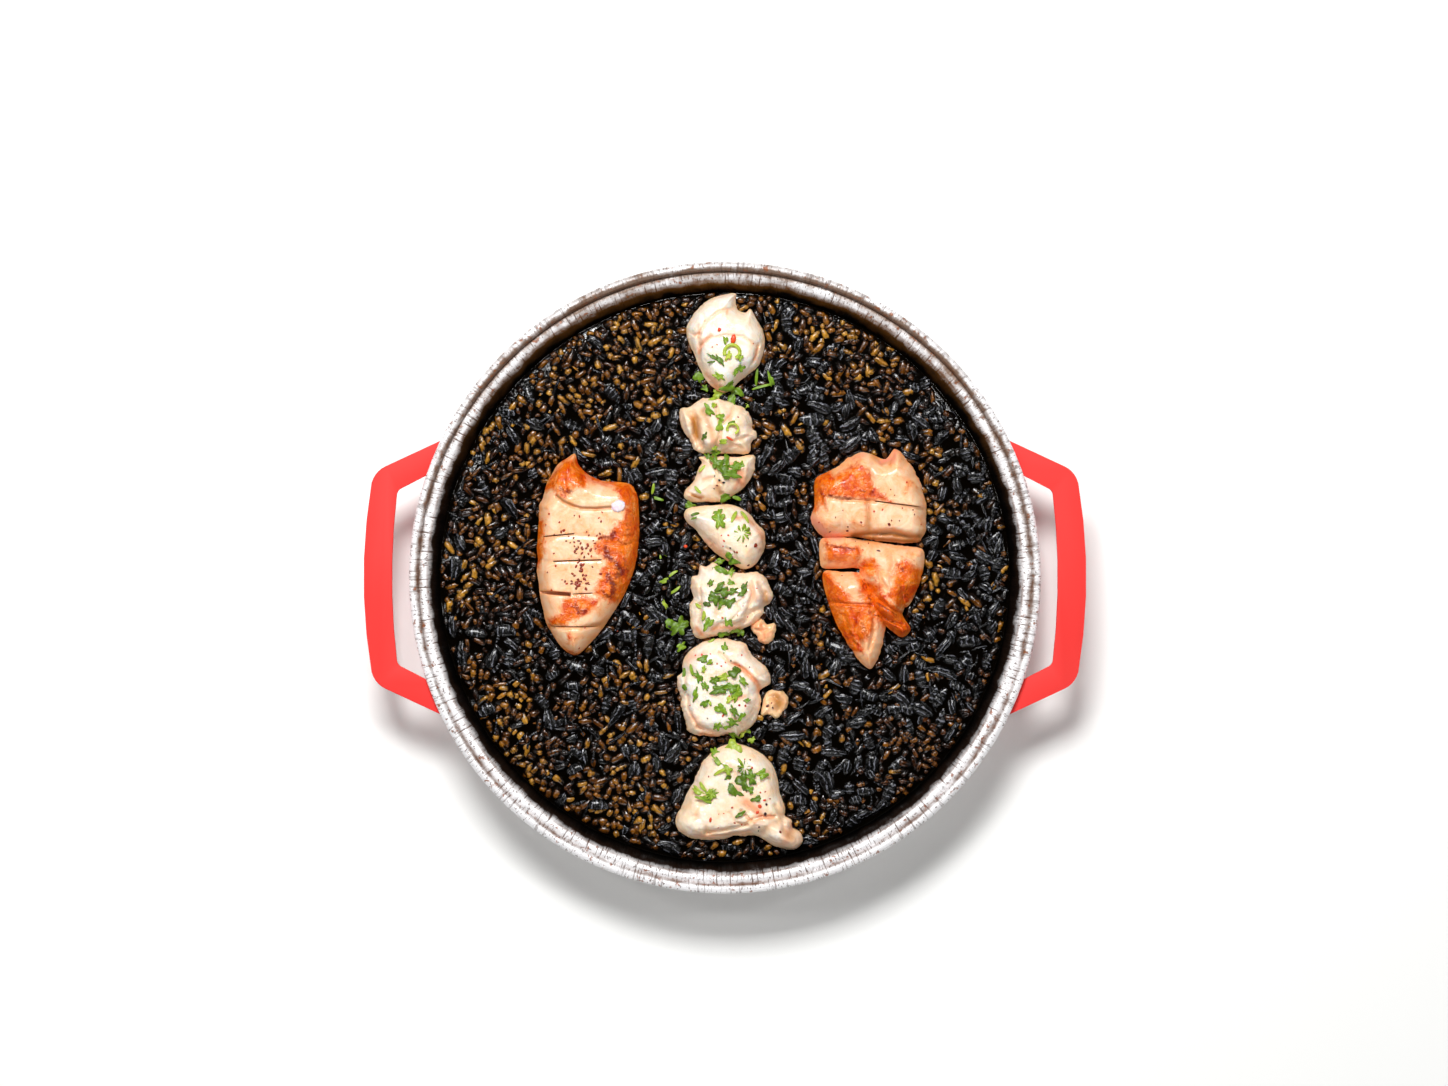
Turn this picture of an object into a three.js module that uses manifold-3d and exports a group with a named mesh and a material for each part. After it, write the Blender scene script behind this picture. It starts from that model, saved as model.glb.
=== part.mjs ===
// A round foil pan of black rice, dressed with two grilled cuttlefish and a row of white fish.
//
// Millimetres, +Z up. The origin is the middle of the pan's underside, so the pan stands on z = 0.
// +X runs from the left handle to the right one, and +Y along the row of fish, to its round end.
// Each piece that can be picked out by hand is one closed solid in a mesh of its own.

import * as THREE from "three";
import { mergeVertices } from "three/addons/utils/BufferGeometryUtils.js";
import Module from "manifold-3d";

const wasm = await Module();
wasm.setup();

// ---- Driving dimensions ----

const GAP = 0.3; // air between two pieces that touch in the real food

const PAN = {
  rimRadius: 105,
  height: 32,
  foil: 0.7, // the foil's thickness, with the play between its pleats
  beadRadius: 1.6, // the rolled edge
  ledgeRadius: 98.8, // where the flat ledge inside the bead turns down into the wall
  ledgeHeight: 29.5,
  wallSlope: 0.3, // run over rise
  cornerRadius: 3,
  pleatDepth: 0.35,
  sides: 90, // two for each pleat
};

const HANDLE = {
  thickness: 1.6,
  underBead: 0.4, // air between the card and the bead that it is tucked under
  stripWidth: 3.6, // the hidden strip that lies along the wall, below the bead
};

const RICE = {
  level: 20, // the height of the hollows between the grains
  rings: 24, // rings of corners from the middle to the wall, a third of them crests of bumps
  bump: 2.2,
  swell: 0.4, // how far the whole surface rises and falls
  grain: { length: 7, width: 3.2, height: 3 },
  grains: 36,
  grainSpacing: 15,
};

const BED = RICE.level + GAP; // the toppings lie on this level
const FLAKE = { size: 4.2, thickness: 1 };

// Where chopped parsley has fallen beside the row of fish: a middle, a radius and a number.
const FALLEN_PARSLEY = [
  { x: -18, y: -6, radius: 12, flakes: 7 },
  { x: 14, y: 62, radius: 6, flakes: 2 },
];

const COLOURS = {
  foil: { color: 0xcfc6c0, roughness: 0.35, metalness: 0.9 },
  card: { color: 0xfc413d, roughness: 0.8, metalness: 0 },
  rice: { color: 0x24170f, roughness: 0.35, metalness: 0 },
  fish: { color: 0xfbe7cf, roughness: 0.45, metalness: 0 },
  cuttlefish: { color: 0xf5a35f, roughness: 0.4, metalness: 0 },
};

// ---- The toppings: outlines seen from above, anticlockwise, and folds across their tops ----

const FISH = [
  {
    name: "fish_1",
    height: 10.6,
    outline: [
      [13.3, 80], [9, 88.5], [5, 90.5], [2, 94], [-6, 92.5], [-12.8, 84], [-10, 74],
      [-5.5, 65], [0, 61.8], [6, 66.5], [11.5, 71.5],
    ],
    folds: [
      { path: [[-8, 74], [-8.5, 84], [-3, 90.5], [4, 91]], depth: 2.4 },
      { path: [[-8, 77.5], [-1, 80], [7, 80.5], [12, 78]], depth: 1.6 },
    ],
    flakes: 3,
  },
  {
    name: "fish_2",
    height: 10,
    outline: [
      [10.6, 48.5], [8.5, 54.5], [1, 58.2], [-6.5, 59.8], [-14.5, 56], [-14.5, 50],
      [-10, 42.6], [0, 41.8], [8, 43.2],
    ],
    folds: [
      { path: [[-13, 54], [-10, 50], [-9, 44]], depth: 4 },
      { path: [[1, 57], [0.5, 50], [3, 43]], depth: 2 },
    ],
    flakes: 3,
  },
  {
    name: "fish_3",
    height: 9,
    outline: [
      [9.8, 36], [8.4, 40.6], [0, 40.2], [-6, 38.4], [-11, 32], [-13.6, 27], [-8, 25.6],
      [0, 26], [6, 29.5],
    ],
    folds: [
      { path: [[-12, 28.5], [-8, 27.5], [-3, 28]], depth: 2.6 },
      { path: [[1, 39], [0, 33], [3, 28]], depth: 1.6 },
    ],
    flakes: 3,
  },
  {
    name: "fish_4",
    height: 10.5,
    outline: [
      [13.6, 10.5], [9.5, 20], [2, 24], [-8, 24.2], [-13.6, 20], [-8.5, 13.5], [-3, 8.4],
      [4, 4], [10.5, 4.6],
    ],
    folds: [],
    flakes: 2,
  },
  {
    name: "fish_5",
    height: 10,
    outline: [
      [16, -5.5], [12, 0.5], [6, 1.2], [0, 3.4], [-5, 4.6], [-10.5, 0.5], [-11.8, -9],
      [-10, -19.4], [-2, -19], [6, -15.6], [12, -11.5],
    ],
    folds: [
      { path: [[10, 0], [10.5, -6], [8, -13]], depth: 1.6 },
      { path: [[-8, 3], [-7.5, -7], [-6, -17]], depth: 1.4 },
    ],
    flakes: 3,
  },
  {
    name: "fish_5_sliver",
    height: 5,
    outline: [
      [17.4, -18.5], [14.5, -14.8], [9.2, -16.4], [10, -20.8], [15.2, -22],
    ],
    folds: [],
    flakes: 0,
  },
  {
    name: "fish_6",
    height: 10.4,
    outline: [
      [12.4, -40], [15.4, -33.5], [10.5, -26.5], [5, -21.6], [-5, -21.2], [-11, -24],
      [-16, -33.5], [-15, -44], [-10.5, -52.5], [-3, -53.2], [5, -53], [10.5, -48],
    ],
    folds: [{ path: [[0, -28], [7, -30], [13, -36]], depth: 1.6 }],
    flakes: 4,
  },
  {
    name: "fish_6_flap",
    height: 5,
    outline: [
      [21.3, -41.5], [18.5, -37.8], [15.3, -37.6], [13.4, -41], [13.6, -46], [18.5, -47],
    ],
    folds: [{ path: [[17.4, -41], [18, -43.5]], depth: 1.8 }],
    flakes: 0,
  },
  {
    name: "fish_7",
    height: 10.5,
    outline: [
      [18.6, -72], [16, -63], [9.5, -57.4], [1, -55.8], [-6, -60], [-11.5, -70],
      [-16.4, -82.5], [-12, -87], [-3, -87.6], [10, -86.4], [17, -90], [23.4, -91],
      [26, -86], [21.5, -80],
    ],
    folds: [{ path: [[-1, -83], [8, -82], [17, -78]], depth: 1.8 }],
    flakes: 4,
  },
];

const CUTTLEFISH = [
  {
    name: "cuttlefish_left",
    height: 11,
    outline: [
      [-28.6, 18], [-31, 30.5], [-41, 32.4], [-46.5, 35.6], [-50, 40.4], [-55.5, 38],
      [-60.8, 28], [-62.6, 14], [-62.6, 0], [-60, -14], [-54.5, -23.5], [-50, -26],
      [-45.5, -22.5], [-35.5, -9], [-30, 4],
    ],
    folds: [{ path: [[-36, 22], [-34, 8], [-40, -8]], depth: 1.2 }],
    cuts: [
      { from: [-54, 27], to: [-37.5, 23.6], depth: 3 },
      { from: [-60.5, 14], to: [-41.5, 14.4], depth: 3.5 },
      { from: [-61, 5.4], to: [-41, 5.8], depth: 3.5 },
      { from: [-63, -5], to: [-43, -5.6], depth: 6 },
      { from: [-57, -16.4], to: [-42, -16.4], depth: 3.5 },
    ],
  },
  {
    name: "cuttlefish_right_upper",
    height: 10,
    outline: [
      [67.4, 18], [66, 30], [61, 39], [57, 43], [53.6, 39.6], [46, 42], [36, 36],
      [30.4, 33], [30, 24], [28.8, 19.4], [32, 14], [43, 13.6], [56, 11.8], [65.5, 12.4],
    ],
    folds: [{ path: [[49, 39], [48, 26], [48, 15]], depth: 1 }],
    cuts: [{ from: [28, 26.4], to: [70, 24.4], depth: 3.5 }],
  },
  {
    name: "cuttlefish_right_middle",
    height: 9,
    outline: [
      [66.8, 6], [58, 10.6], [47, 11.8], [32, 12.4], [31.8, 3], [44, 3], [54, -6],
      [60.5, -10], [64, -5],
    ],
    folds: [{ path: [[47, 11], [48, 4]], depth: 1 }],
    cuts: [],
    isUnderFlap: true,
  },
  {
    name: "cuttlefish_right_lower",
    height: 9.5,
    outline: [
      [54.2, -12], [51, -4], [43.5, 1.6], [33, 1.4], [35.2, -9], [39, -18.5], [44, -26.5],
      [48.8, -30.6], [51.6, -26], [53.6, -18],
    ],
    folds: [{ path: [[42, -10], [45, -17], [48, -24]], depth: 1 }],
    cuts: [{ from: [32, -8], to: [49, -9], depth: 3 }],
    isUnderFlap: true,
  },
];

// The folded tentacles lie over the middle and lower pieces, which have a seat for them.
const FLAP = {
  name: "cuttlefish_right_flap",
  height: 11.5,
  outline: [
    [63, -2], [57, 3.4], [51.6, 4.4], [47.6, -1], [48.6, -10.4], [54, -16.4], [59.4, -20],
    [62, -17.4], [59.4, -12],
  ],
  folds: [
    { path: [[50, -8], [55, -12], [59, -16]], depth: 1.8 },
    { path: [[53, 3], [54, -4], [59, -10]], depth: 1.6 },
  ],
};
const SEAT_GROWTH = 1.06;

const CUTTLEFISH_SIDES = 24;
const FLAP_SIDES = 22;
const FISH_SIDES = 18;
const SLIVER_SIDES = 10;

// ---- Helpers ----

// A seeded draw between two values, the same on each run.
function makeDraw(seed) {
  let state = seed;
  return (low, high) => {
    state = (state * 1664525 + 1013904223) % 4294967296;
    return low + ((high - low) * state) / 4294967296;
  };
}

function positionsOnly(geometry) {
  geometry.deleteAttribute("normal");
  geometry.deleteAttribute("uv");
  return mergeVertices(geometry, 1e-4);
}

// Merges the corners that lie together, and drops the faces that this leaves without area.
function withoutEmptyFaces(geometry) {
  const merged = positionsOnly(geometry);
  const kept = [];
  for (let i = 0; i < merged.index.count; i += 3) {
    const corners = [0, 1, 2].map((k) => merged.index.getX(i + k));
    if (new Set(corners).size === 3) kept.push(...corners);
  }
  merged.setIndex(kept);
  return merged;
}

function solidOf(geometry) {
  const merged = positionsOnly(geometry.clone());
  const vertProperties = merged.attributes.position.array;
  const triVerts = new Uint32Array(merged.index.array);
  return new wasm.Manifold(new wasm.Mesh({ numProp: 3, vertProperties, triVerts }));
}

function geometryOf(solid) {
  const { vertProperties, triVerts } = solid.getMesh();
  const geometry = new THREE.BufferGeometry();
  geometry.setAttribute("position", new THREE.BufferAttribute(vertProperties, 3));
  geometry.setIndex(new THREE.BufferAttribute(triVerts, 1));
  return geometry;
}

function joined(geometry, additions) {
  const start = solidOf(geometry);
  return geometryOf(additions.reduce((solid, piece) => solid.add(solidOf(piece)), start));
}

function carved(geometry, cutters) {
  const start = solidOf(geometry);
  return geometryOf(cutters.reduce((solid, cutter) => solid.subtract(solidOf(cutter)), start));
}

function namedMesh(name, geometry, finish) {
  geometry.computeVertexNormals();
  const mesh = new THREE.Mesh(geometry, new THREE.MeshStandardMaterial({ ...finish, flatShading: true }));
  mesh.name = name;
  return mesh;
}

// Evenly spaced points on a smooth closed curve through an outline's few points.
function smoothOutline(outline, count) {
  const corners = outline.map(([x, y]) => new THREE.Vector3(x, y, 0));
  const curve = new THREE.CatmullRomCurve3(corners, true, "centripetal");
  return curve.getSpacedPoints(count).slice(0, count);
}

function distanceToPath(x, y, path) {
  let nearest = Infinity;
  for (let i = 1; i < path.length; i++) {
    const [ax, ay] = path[i - 1];
    const [bx, by] = path[i];
    const run = (bx - ax) ** 2 + (by - ay) ** 2;
    const along = THREE.MathUtils.clamp(((x - ax) * (bx - ax) + (y - ay) * (by - ay)) / run, 0, 1);
    nearest = Math.min(nearest, Math.hypot(x - ax - along * (bx - ax), y - ay - along * (by - ay)));
  }
  return nearest;
}

// Where a vertical line at x, y first meets a geometry from above, and how the surface leans there.
function surfaceAt(geometry, x, y) {
  const probe = new THREE.Mesh(geometry, new THREE.MeshBasicMaterial());
  const caster = new THREE.Raycaster(new THREE.Vector3(x, y, 2 * PAN.height), new THREE.Vector3(0, 0, -1));
  const [hit] = caster.intersectObject(probe);
  return { point: hit.point, normal: hit.face.normal };
}

function middleOf(geometry) {
  geometry.computeBoundingBox();
  return geometry.boundingBox.getCenter(new THREE.Vector3());
}

// Lays a piece that was made flat at the origin on a surface, turned by an angle about its normal.
function laidOn(piece, { point, normal }, turn, lift) {
  const lean = new THREE.Quaternion().setFromUnitVectors(new THREE.Vector3(0, 0, 1), normal);
  piece.rotateZ(turn);
  piece.applyQuaternion(lean);
  piece.translate(point.x, point.y, point.z + lift);
  return piece;
}

// ---- The foil pan ----

function wallRadius(z) {
  return PAN.ledgeRadius - (PAN.ledgeHeight - z) * PAN.wallSlope;
}

// The pan's section, from the axis under the base, round the bead, to the axis inside.
function panProfile() {
  const { foil, cornerRadius, beadRadius, ledgeHeight, rimRadius, height } = PAN;
  const beadMiddle = new THREE.Vector2(rimRadius - beadRadius, height - beadRadius);
  const underLedge = ledgeHeight - foil;
  const profile = [new THREE.Vector2(0, 0)];
  const bend = (level, thickness) => [
    new THREE.Vector2(wallRadius(level) + thickness - cornerRadius, level),
    new THREE.Vector2(wallRadius(level + cornerRadius) + thickness, level + cornerRadius),
  ];
  profile.push(...bend(0, foil));
  profile.push(new THREE.Vector2(wallRadius(underLedge) + foil, underLedge));
  for (const degrees of [-90, -45, 0, 45, 90, 150, 214]) {
    const angle = THREE.MathUtils.degToRad(degrees);
    const spoke = new THREE.Vector2(Math.cos(angle), Math.sin(angle));
    profile.push(beadMiddle.clone().addScaledVector(spoke, beadRadius));
  }
  profile.push(new THREE.Vector2(PAN.ledgeRadius, ledgeHeight));
  profile.push(...bend(foil, 0).reverse());
  profile.push(new THREE.Vector2(0, foil));
  return profile;
}

// Each second column of the wall stands out and the next stands in, which makes the pleats.
function foilPan() {
  const profile = panProfile();
  const geometry = new THREE.LatheGeometry(profile, PAN.sides);
  const at = geometry.attributes.position;
  for (let i = 0; i < at.count; i++) {
    const column = Math.floor(i / profile.length) % PAN.sides;
    const z = at.getY(i);
    const radius = Math.hypot(at.getX(i), at.getZ(i));
    const inWall = z > PAN.foil && z <= PAN.ledgeHeight && radius < PAN.ledgeRadius + PAN.foil + 0.1;
    if (!inWall || radius < wallRadius(0) - PAN.cornerRadius) continue;
    const push = (column % 2 ? 1 : -1) * PAN.pleatDepth * (z / PAN.ledgeHeight);
    const scale = (radius + push) / radius;
    at.setXYZ(i, at.getX(i) * scale, z, at.getZ(i) * scale);
  }
  geometry.rotateX(Math.PI / 2);
  return geometry;
}

// ---- The handles: red card, tucked under the bead ----

const handleTop = PAN.ledgeHeight - PAN.foil - HANDLE.underBead;

function cardHandle() {
  const againstWall = wallRadius(handleTop) + PAN.foil + PAN.pleatDepth + GAP + 0.1;
  const stripEdge = againstWall + HANDLE.stripWidth;
  const corner = { x: 116.5, y: 35.5 };
  const innerCorner = { x: 109, y: 29 };
  const wallAngle = THREE.MathUtils.degToRad(29.5);
  const gapAngle = THREE.MathUtils.degToRad(19.8);
  const onCircle = (radius, angle) => [radius * Math.cos(angle), radius * Math.sin(angle)];

  const card = new THREE.Shape();
  card.moveTo(...onCircle(againstWall, -wallAngle));
  card.lineTo(corner.x - 3.5, -corner.y - 1.6);
  card.quadraticCurveTo(corner.x, -corner.y, corner.x + 1.2, -corner.y + 4);
  card.quadraticCurveTo(123, 0, corner.x + 1.2, corner.y - 4);
  card.quadraticCurveTo(corner.x, corner.y, corner.x - 3.5, corner.y + 1.6);
  card.lineTo(...onCircle(againstWall, wallAngle));
  card.absarc(0, 0, againstWall, wallAngle, -wallAngle, true);

  const fingerGap = new THREE.Path();
  fingerGap.absarc(0, 0, stripEdge, -gapAngle, gapAngle, false);
  fingerGap.lineTo(innerCorner.x - 1, innerCorner.y + 0.6);
  fingerGap.quadraticCurveTo(innerCorner.x, innerCorner.y, innerCorner.x + 0.3, innerCorner.y - 1.2);
  fingerGap.quadraticCurveTo(112.6, 0, innerCorner.x + 0.3, 1.2 - innerCorner.y);
  fingerGap.quadraticCurveTo(innerCorner.x, -innerCorner.y, innerCorner.x - 1, -innerCorner.y - 0.6);
  fingerGap.closePath();
  card.holes.push(fingerGap);

  const geometry = new THREE.ExtrudeGeometry(card, {
    depth: HANDLE.thickness,
    bevelEnabled: false,
    curveSegments: 5,
  });
  geometry.translate(0, 0, handleTop - HANDLE.thickness);
  return geometry;
}

// ---- Toppings ----

// A flat-based dome: each of its levels is the outline, drawn in towards the middle.
function toppingBody({ outline, height, folds }, sides) {
  const edge = smoothOutline(outline, sides);
  const middle = edge.reduce((sum, p) => sum.add(p), new THREE.Vector3()).divideScalar(sides);
  const levels = [[0, 0], [0.88, 0], [1, 0.34], [0.9, 0.7], [0.68, 0.9], [0.36, 0.98], [0, 1]];
  const profile = levels.map(([reach, rise]) => new THREE.Vector2(reach, rise));
  const geometry = new THREE.LatheGeometry(profile, sides);
  const at = geometry.attributes.position;
  for (let i = 0; i < at.count; i++) {
    const side = Math.floor(i / profile.length) % sides;
    const { x: reach, y: rise } = profile[i % profile.length];
    const x = middle.x + reach * (edge[side].x - middle.x);
    const y = middle.y + reach * (edge[side].y - middle.y);
    const sunk = folds.reduce((sum, fold) => {
      const off = distanceToPath(x, y, fold.path);
      return sum + fold.depth * Math.exp(-((off / 1.8) ** 2));
    }, 0);
    at.setXYZ(i, x, y, BED + rise * (height - sunk));
  }
  return geometry;
}

// A thin upright blade that opens a knife cut from above.
function knifeCut({ from, to, depth }, height) {
  const run = new THREE.Vector2(to[0] - from[0], to[1] - from[1]);
  const blade = new THREE.BoxGeometry(run.length(), 1.1, 2 * depth);
  blade.rotateZ(run.angle());
  blade.translate((from[0] + to[0]) / 2, (from[1] + to[1]) / 2, BED + height);
  return blade;
}

// A chopped leaf: a small four-cornered plate.
function parsleyFlake(size) {
  const leaf = new THREE.Shape();
  leaf.moveTo(-0.5 * size, -0.12 * size);
  leaf.lineTo(0.1 * size, -0.34 * size);
  leaf.lineTo(0.5 * size, 0);
  leaf.lineTo(0, 0.36 * size);
  const plate = new THREE.ExtrudeGeometry(leaf, { depth: FLAKE.thickness, bevelEnabled: false });
  plate.translate(0, 0, -0.5 * FLAKE.thickness);
  return plate;
}

// A chunk of white fish, with its parsley spread round the middle of its top.
function whiteFish(piece, draw) {
  if (piece.flakes === 0) return toppingBody(piece, SLIVER_SIDES);
  const body = toppingBody(piece, FISH_SIDES);
  const middle = middleOf(body);
  const flakes = smoothOutline(piece.outline, piece.flakes).map((edgePoint) => {
    const place = middle.clone().lerp(edgePoint, draw(0.15, 0.6));
    const flake = parsleyFlake(draw(0.75, 1.1) * FLAKE.size);
    return laidOn(flake, surfaceAt(body, place.x, place.y), draw(0, 2 * Math.PI), 0.1);
  });
  return joined(body, flakes);
}

function cuttlefishPiece(piece) {
  const cuts = piece.cuts.map((cut) => knifeCut(cut, piece.height));
  return carved(toppingBody(piece, CUTTLEFISH_SIDES), cuts);
}

// The room that the folded tentacles take out of the pieces below them.
function flapSeat() {
  const seat = toppingBody({ ...FLAP, folds: [] }, FLAP_SIDES);
  const { x, y } = middleOf(seat);
  seat.translate(-x, -y, -BED);
  seat.scale(SEAT_GROWTH, SEAT_GROWTH, 1.1);
  seat.translate(x, y, BED - GAP);
  return seat;
}

// ---- The rice ----

const outlines = [...FISH, ...CUTTLEFISH, FLAP].map(({ outline }) =>
  smoothOutline(outline, 48).map(({ x, y }) => [x, y]),
);

function isInside(x, y, loop) {
  let inside = false;
  for (let i = 0, j = loop.length - 1; i < loop.length; j = i++) {
    const [ax, ay] = loop[i];
    const [bx, by] = loop[j];
    if (ay > y !== by > y && x < ((bx - ax) * (y - ay)) / (by - ay) + ax) inside = !inside;
  }
  return inside;
}

// How far a place on the rice is from the nearest topping, or 0 under one.
function roomAround(x, y) {
  const distances = outlines.map((loop) =>
    isInside(x, y, loop) ? 0 : distanceToPath(x, y, [...loop, loop[0]]),
  );
  return Math.min(...distances);
}

// The rice starts as a square slab with a fine grid on top, whose middle corner is column 0, row 0.
// In two opposite quarters the grid's squares are cut along their other diagonal, which is the
// shorter one once the square is made round.
const isTurned = (column, row) => column * row < 0;

function turnDiagonals(slab) {
  const at = slab.attributes.position;
  const top = slab.groups[4];
  for (let i = top.start; i < top.start + top.count; i += 6) {
    const [a, b, d, , c] = slab.index.array.slice(i, i + 6);
    if (!isTurned(at.getX(a) + at.getX(c), at.getY(a) + at.getY(c))) continue;
    slab.index.array.set([a, b, c, a, c, d], i);
  }
}

// The slab's square rings become round ones.
function squareToDisc(x, y) {
  if (x === 0 && y === 0) return [0, 0];
  const wide = Math.abs(x) > Math.abs(y);
  const radius = wide ? x : y;
  const angle = wide ? (Math.PI / 4) * (y / x) : Math.PI / 2 - (Math.PI / 4) * (x / y);
  return [radius * Math.cos(angle), radius * Math.sin(angle)];
}

// Steps to the six neighbours of a corner where the diagonals aren't turned.
const NEIGHBOURS = [[1, 0], [1, 1], [0, 1], [-1, 0], [-1, -1], [0, -1]];

// Heights from 0 to 1. Each third corner is the crest of a bump as large as a grain, which runs on
// to one of its neighbours.
function grainBumps(draw) {
  const heights = new Map();
  const steps = [...Array(2 * RICE.rings + 1).keys()].map((k) => k - RICE.rings);
  for (const column of steps) {
    for (const row of steps) {
      const turn = isTurned(column, row) ? -1 : 1;
      if ((column + turn * row) % 3 !== 0) continue;
      const [across, along] = NEIGHBOURS[Math.floor(draw(0, NEIGHBOURS.length))];
      heights.set(`${column},${row}`, draw(0.7, 1));
      heights.set(`${column + across},${row + turn * along}`, draw(0.45, 0.75));
    }
  }
  return heights;
}

// A round slab whose top is a bumpy grid. The grid of its underside is gathered into one fan.
function riceBody(draw) {
  const floor = PAN.foil + GAP;
  const topRadius = wallRadius(RICE.level) - PAN.pleatDepth - GAP;
  const floorRadius = wallRadius(floor) - PAN.cornerRadius - GAP;
  const heights = grainBumps(draw);
  const slab = new THREE.BoxGeometry(2, 2, 2, 2 * RICE.rings, 2 * RICE.rings, 1);
  turnDiagonals(slab);
  const geometry = positionsOnly(slab);
  const at = geometry.attributes.position;
  for (let i = 0; i < at.count; i++) {
    const column = Math.round(at.getX(i) * RICE.rings);
    const row = Math.round(at.getY(i) * RICE.rings);
    const [u, v] = squareToDisc(at.getX(i), at.getY(i));
    const atWall = Math.max(Math.abs(column), Math.abs(row)) === RICE.rings;
    if (at.getZ(i) < 0) {
      const spread = atWall ? floorRadius : 0;
      at.setXYZ(i, spread * u, spread * v, floor);
      continue;
    }
    const stray = atWall ? 0 : 0.7;
    const x = topRadius * u + draw(-stray, stray);
    const y = topRadius * v + draw(-stray, stray);
    const bump = RICE.bump * (heights.get(`${column},${row}`) ?? draw(0, 0.15));
    const swell = RICE.swell * Math.max(0, Math.sin(x / 13) * Math.cos(y / 17) + 0.4);
    const freedom = atWall ? 0 : THREE.MathUtils.clamp((roomAround(x, y) - 1.5) / 4, 0, 1);
    at.setXYZ(i, x, y, RICE.level + freedom * (bump + swell));
  }
  return withoutEmptyFaces(geometry);
}

function riceGrain(draw) {
  const { length, width, height } = RICE.grain;
  const grain = new THREE.SphereGeometry(0.5, 5, 3);
  grain.rotateZ(Math.PI / 2);
  grain.scale(length * draw(0.9, 1.1), width * draw(0.9, 1.1), height);
  grain.rotateY(draw(-0.2, 0.2));
  return grain;
}

// Places spread over the open rice, each well clear of the wall, the toppings and the others.
const wholePan = { x: 0, y: 0, radius: wallRadius(RICE.level) };

function openPlaces(count, spacing, margin, draw, area = wholePan) {
  const places = [];
  for (let tries = 0; tries < 4000 && places.length < count; tries++) {
    const x = area.x + draw(-area.radius, area.radius);
    const y = area.y + draw(-area.radius, area.radius);
    const crowded = places.some(([px, py]) => Math.hypot(x - px, y - py) < spacing);
    const outside = Math.hypot(x - area.x, y - area.y) > area.radius;
    const atWall = Math.hypot(x, y) > wholePan.radius - margin;
    if (crowded || outside || atWall || roomAround(x, y) < margin) continue;
    places.push([x, y]);
  }
  return places;
}

function blackRice(draw) {
  const body = riceBody(draw);
  const upright = new THREE.Vector3(0, 0, 1);
  const grains = openPlaces(RICE.grains, RICE.grainSpacing, 5, draw).map(([x, y]) => {
    const { point } = surfaceAt(body, x, y);
    return laidOn(riceGrain(draw), { point, normal: upright }, draw(0, Math.PI), 0);
  });
  const parsley = FALLEN_PARSLEY.flatMap(({ x, y, radius, flakes }) =>
    openPlaces(flakes, 6, 3, draw, { x, y, radius }).map((place) =>
      laidOn(parsleyFlake(FLAKE.size), surfaceAt(body, ...place), draw(0, 2 * Math.PI), 0.3),
    ),
  );
  return joined(body, [...grains, ...parsley]);
}

// ---- The whole pan ----

const draw = makeDraw(20241);
const pan = new THREE.Group();

pan.add(namedMesh("foil_pan", foilPan(), COLOURS.foil));

const rightHandle = namedMesh("handle_right", cardHandle(), COLOURS.card);
const leftHandle = namedMesh("handle_left", cardHandle(), COLOURS.card);
leftHandle.rotation.z = Math.PI;
pan.add(rightHandle, leftHandle);

pan.add(namedMesh("rice", blackRice(draw), COLOURS.rice));

for (const piece of FISH) {
  pan.add(namedMesh(piece.name, whiteFish(piece, draw), COLOURS.fish));
}

pan.add(namedMesh(FLAP.name, toppingBody(FLAP, FLAP_SIDES), COLOURS.cuttlefish));

const seat = flapSeat();
for (const piece of CUTTLEFISH) {
  const whole = cuttlefishPiece(piece);
  const geometry = piece.isUnderFlap ? carved(whole, [seat]) : whole;
  pan.add(namedMesh(piece.name, geometry, COLOURS.cuttlefish));
}

export default pan;
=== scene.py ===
# %% [markdown]
# A takeaway pan of black rice, seen from straight above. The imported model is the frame: its solids
# give the sizes and places. Here each solid gets the look of the real thing, as fine meshes in the
# same places and as procedural materials. Everything is in metres, and lists of places on the food
# are in millimetres, as a cook would measure them, and are turned to metres where a mesh is made.

# %% Load the frame
import math
import random

import bmesh
import bpy
import numpy as np
from mathutils import Matrix, Vector, noise
from mathutils.bvhtree import BVHTree


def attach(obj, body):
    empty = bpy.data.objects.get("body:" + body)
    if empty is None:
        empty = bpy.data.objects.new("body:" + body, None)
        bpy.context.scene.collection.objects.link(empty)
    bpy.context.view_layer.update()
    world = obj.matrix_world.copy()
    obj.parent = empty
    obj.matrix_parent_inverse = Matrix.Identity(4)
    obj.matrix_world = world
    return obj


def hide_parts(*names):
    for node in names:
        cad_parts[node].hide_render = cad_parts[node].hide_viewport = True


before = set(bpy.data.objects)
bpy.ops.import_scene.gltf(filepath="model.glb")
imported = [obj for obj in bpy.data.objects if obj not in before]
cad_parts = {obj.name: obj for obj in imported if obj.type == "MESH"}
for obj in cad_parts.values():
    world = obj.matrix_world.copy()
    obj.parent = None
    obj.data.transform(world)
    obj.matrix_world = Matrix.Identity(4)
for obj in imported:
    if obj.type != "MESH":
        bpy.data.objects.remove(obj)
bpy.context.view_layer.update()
MM = 0.001
print("CAD nodes:", len(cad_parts))

# %% [markdown]
# The camera hangs straight above the pan, as the photographer's did. A long lens keeps the pan's
# walls nearly upright in the picture: only a narrow dark band of the inner wall shows.

# %% Camera
CAMERA_PLACE = (-0.0003, 0.0115, 0.966)
LENS_MM = 70

camera_data = bpy.data.cameras.new("camera")
camera_data.lens = LENS_MM
camera_data.sensor_width = 36
camera = bpy.data.objects.new("camera", camera_data)
camera.location = CAMERA_PLACE
bpy.context.scene.collection.objects.link(camera)
bpy.context.scene.camera = camera
bpy.context.scene.view_settings.view_transform = "Standard"
print("camera height in mm:", round(CAMERA_PLACE[2] / MM))

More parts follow.
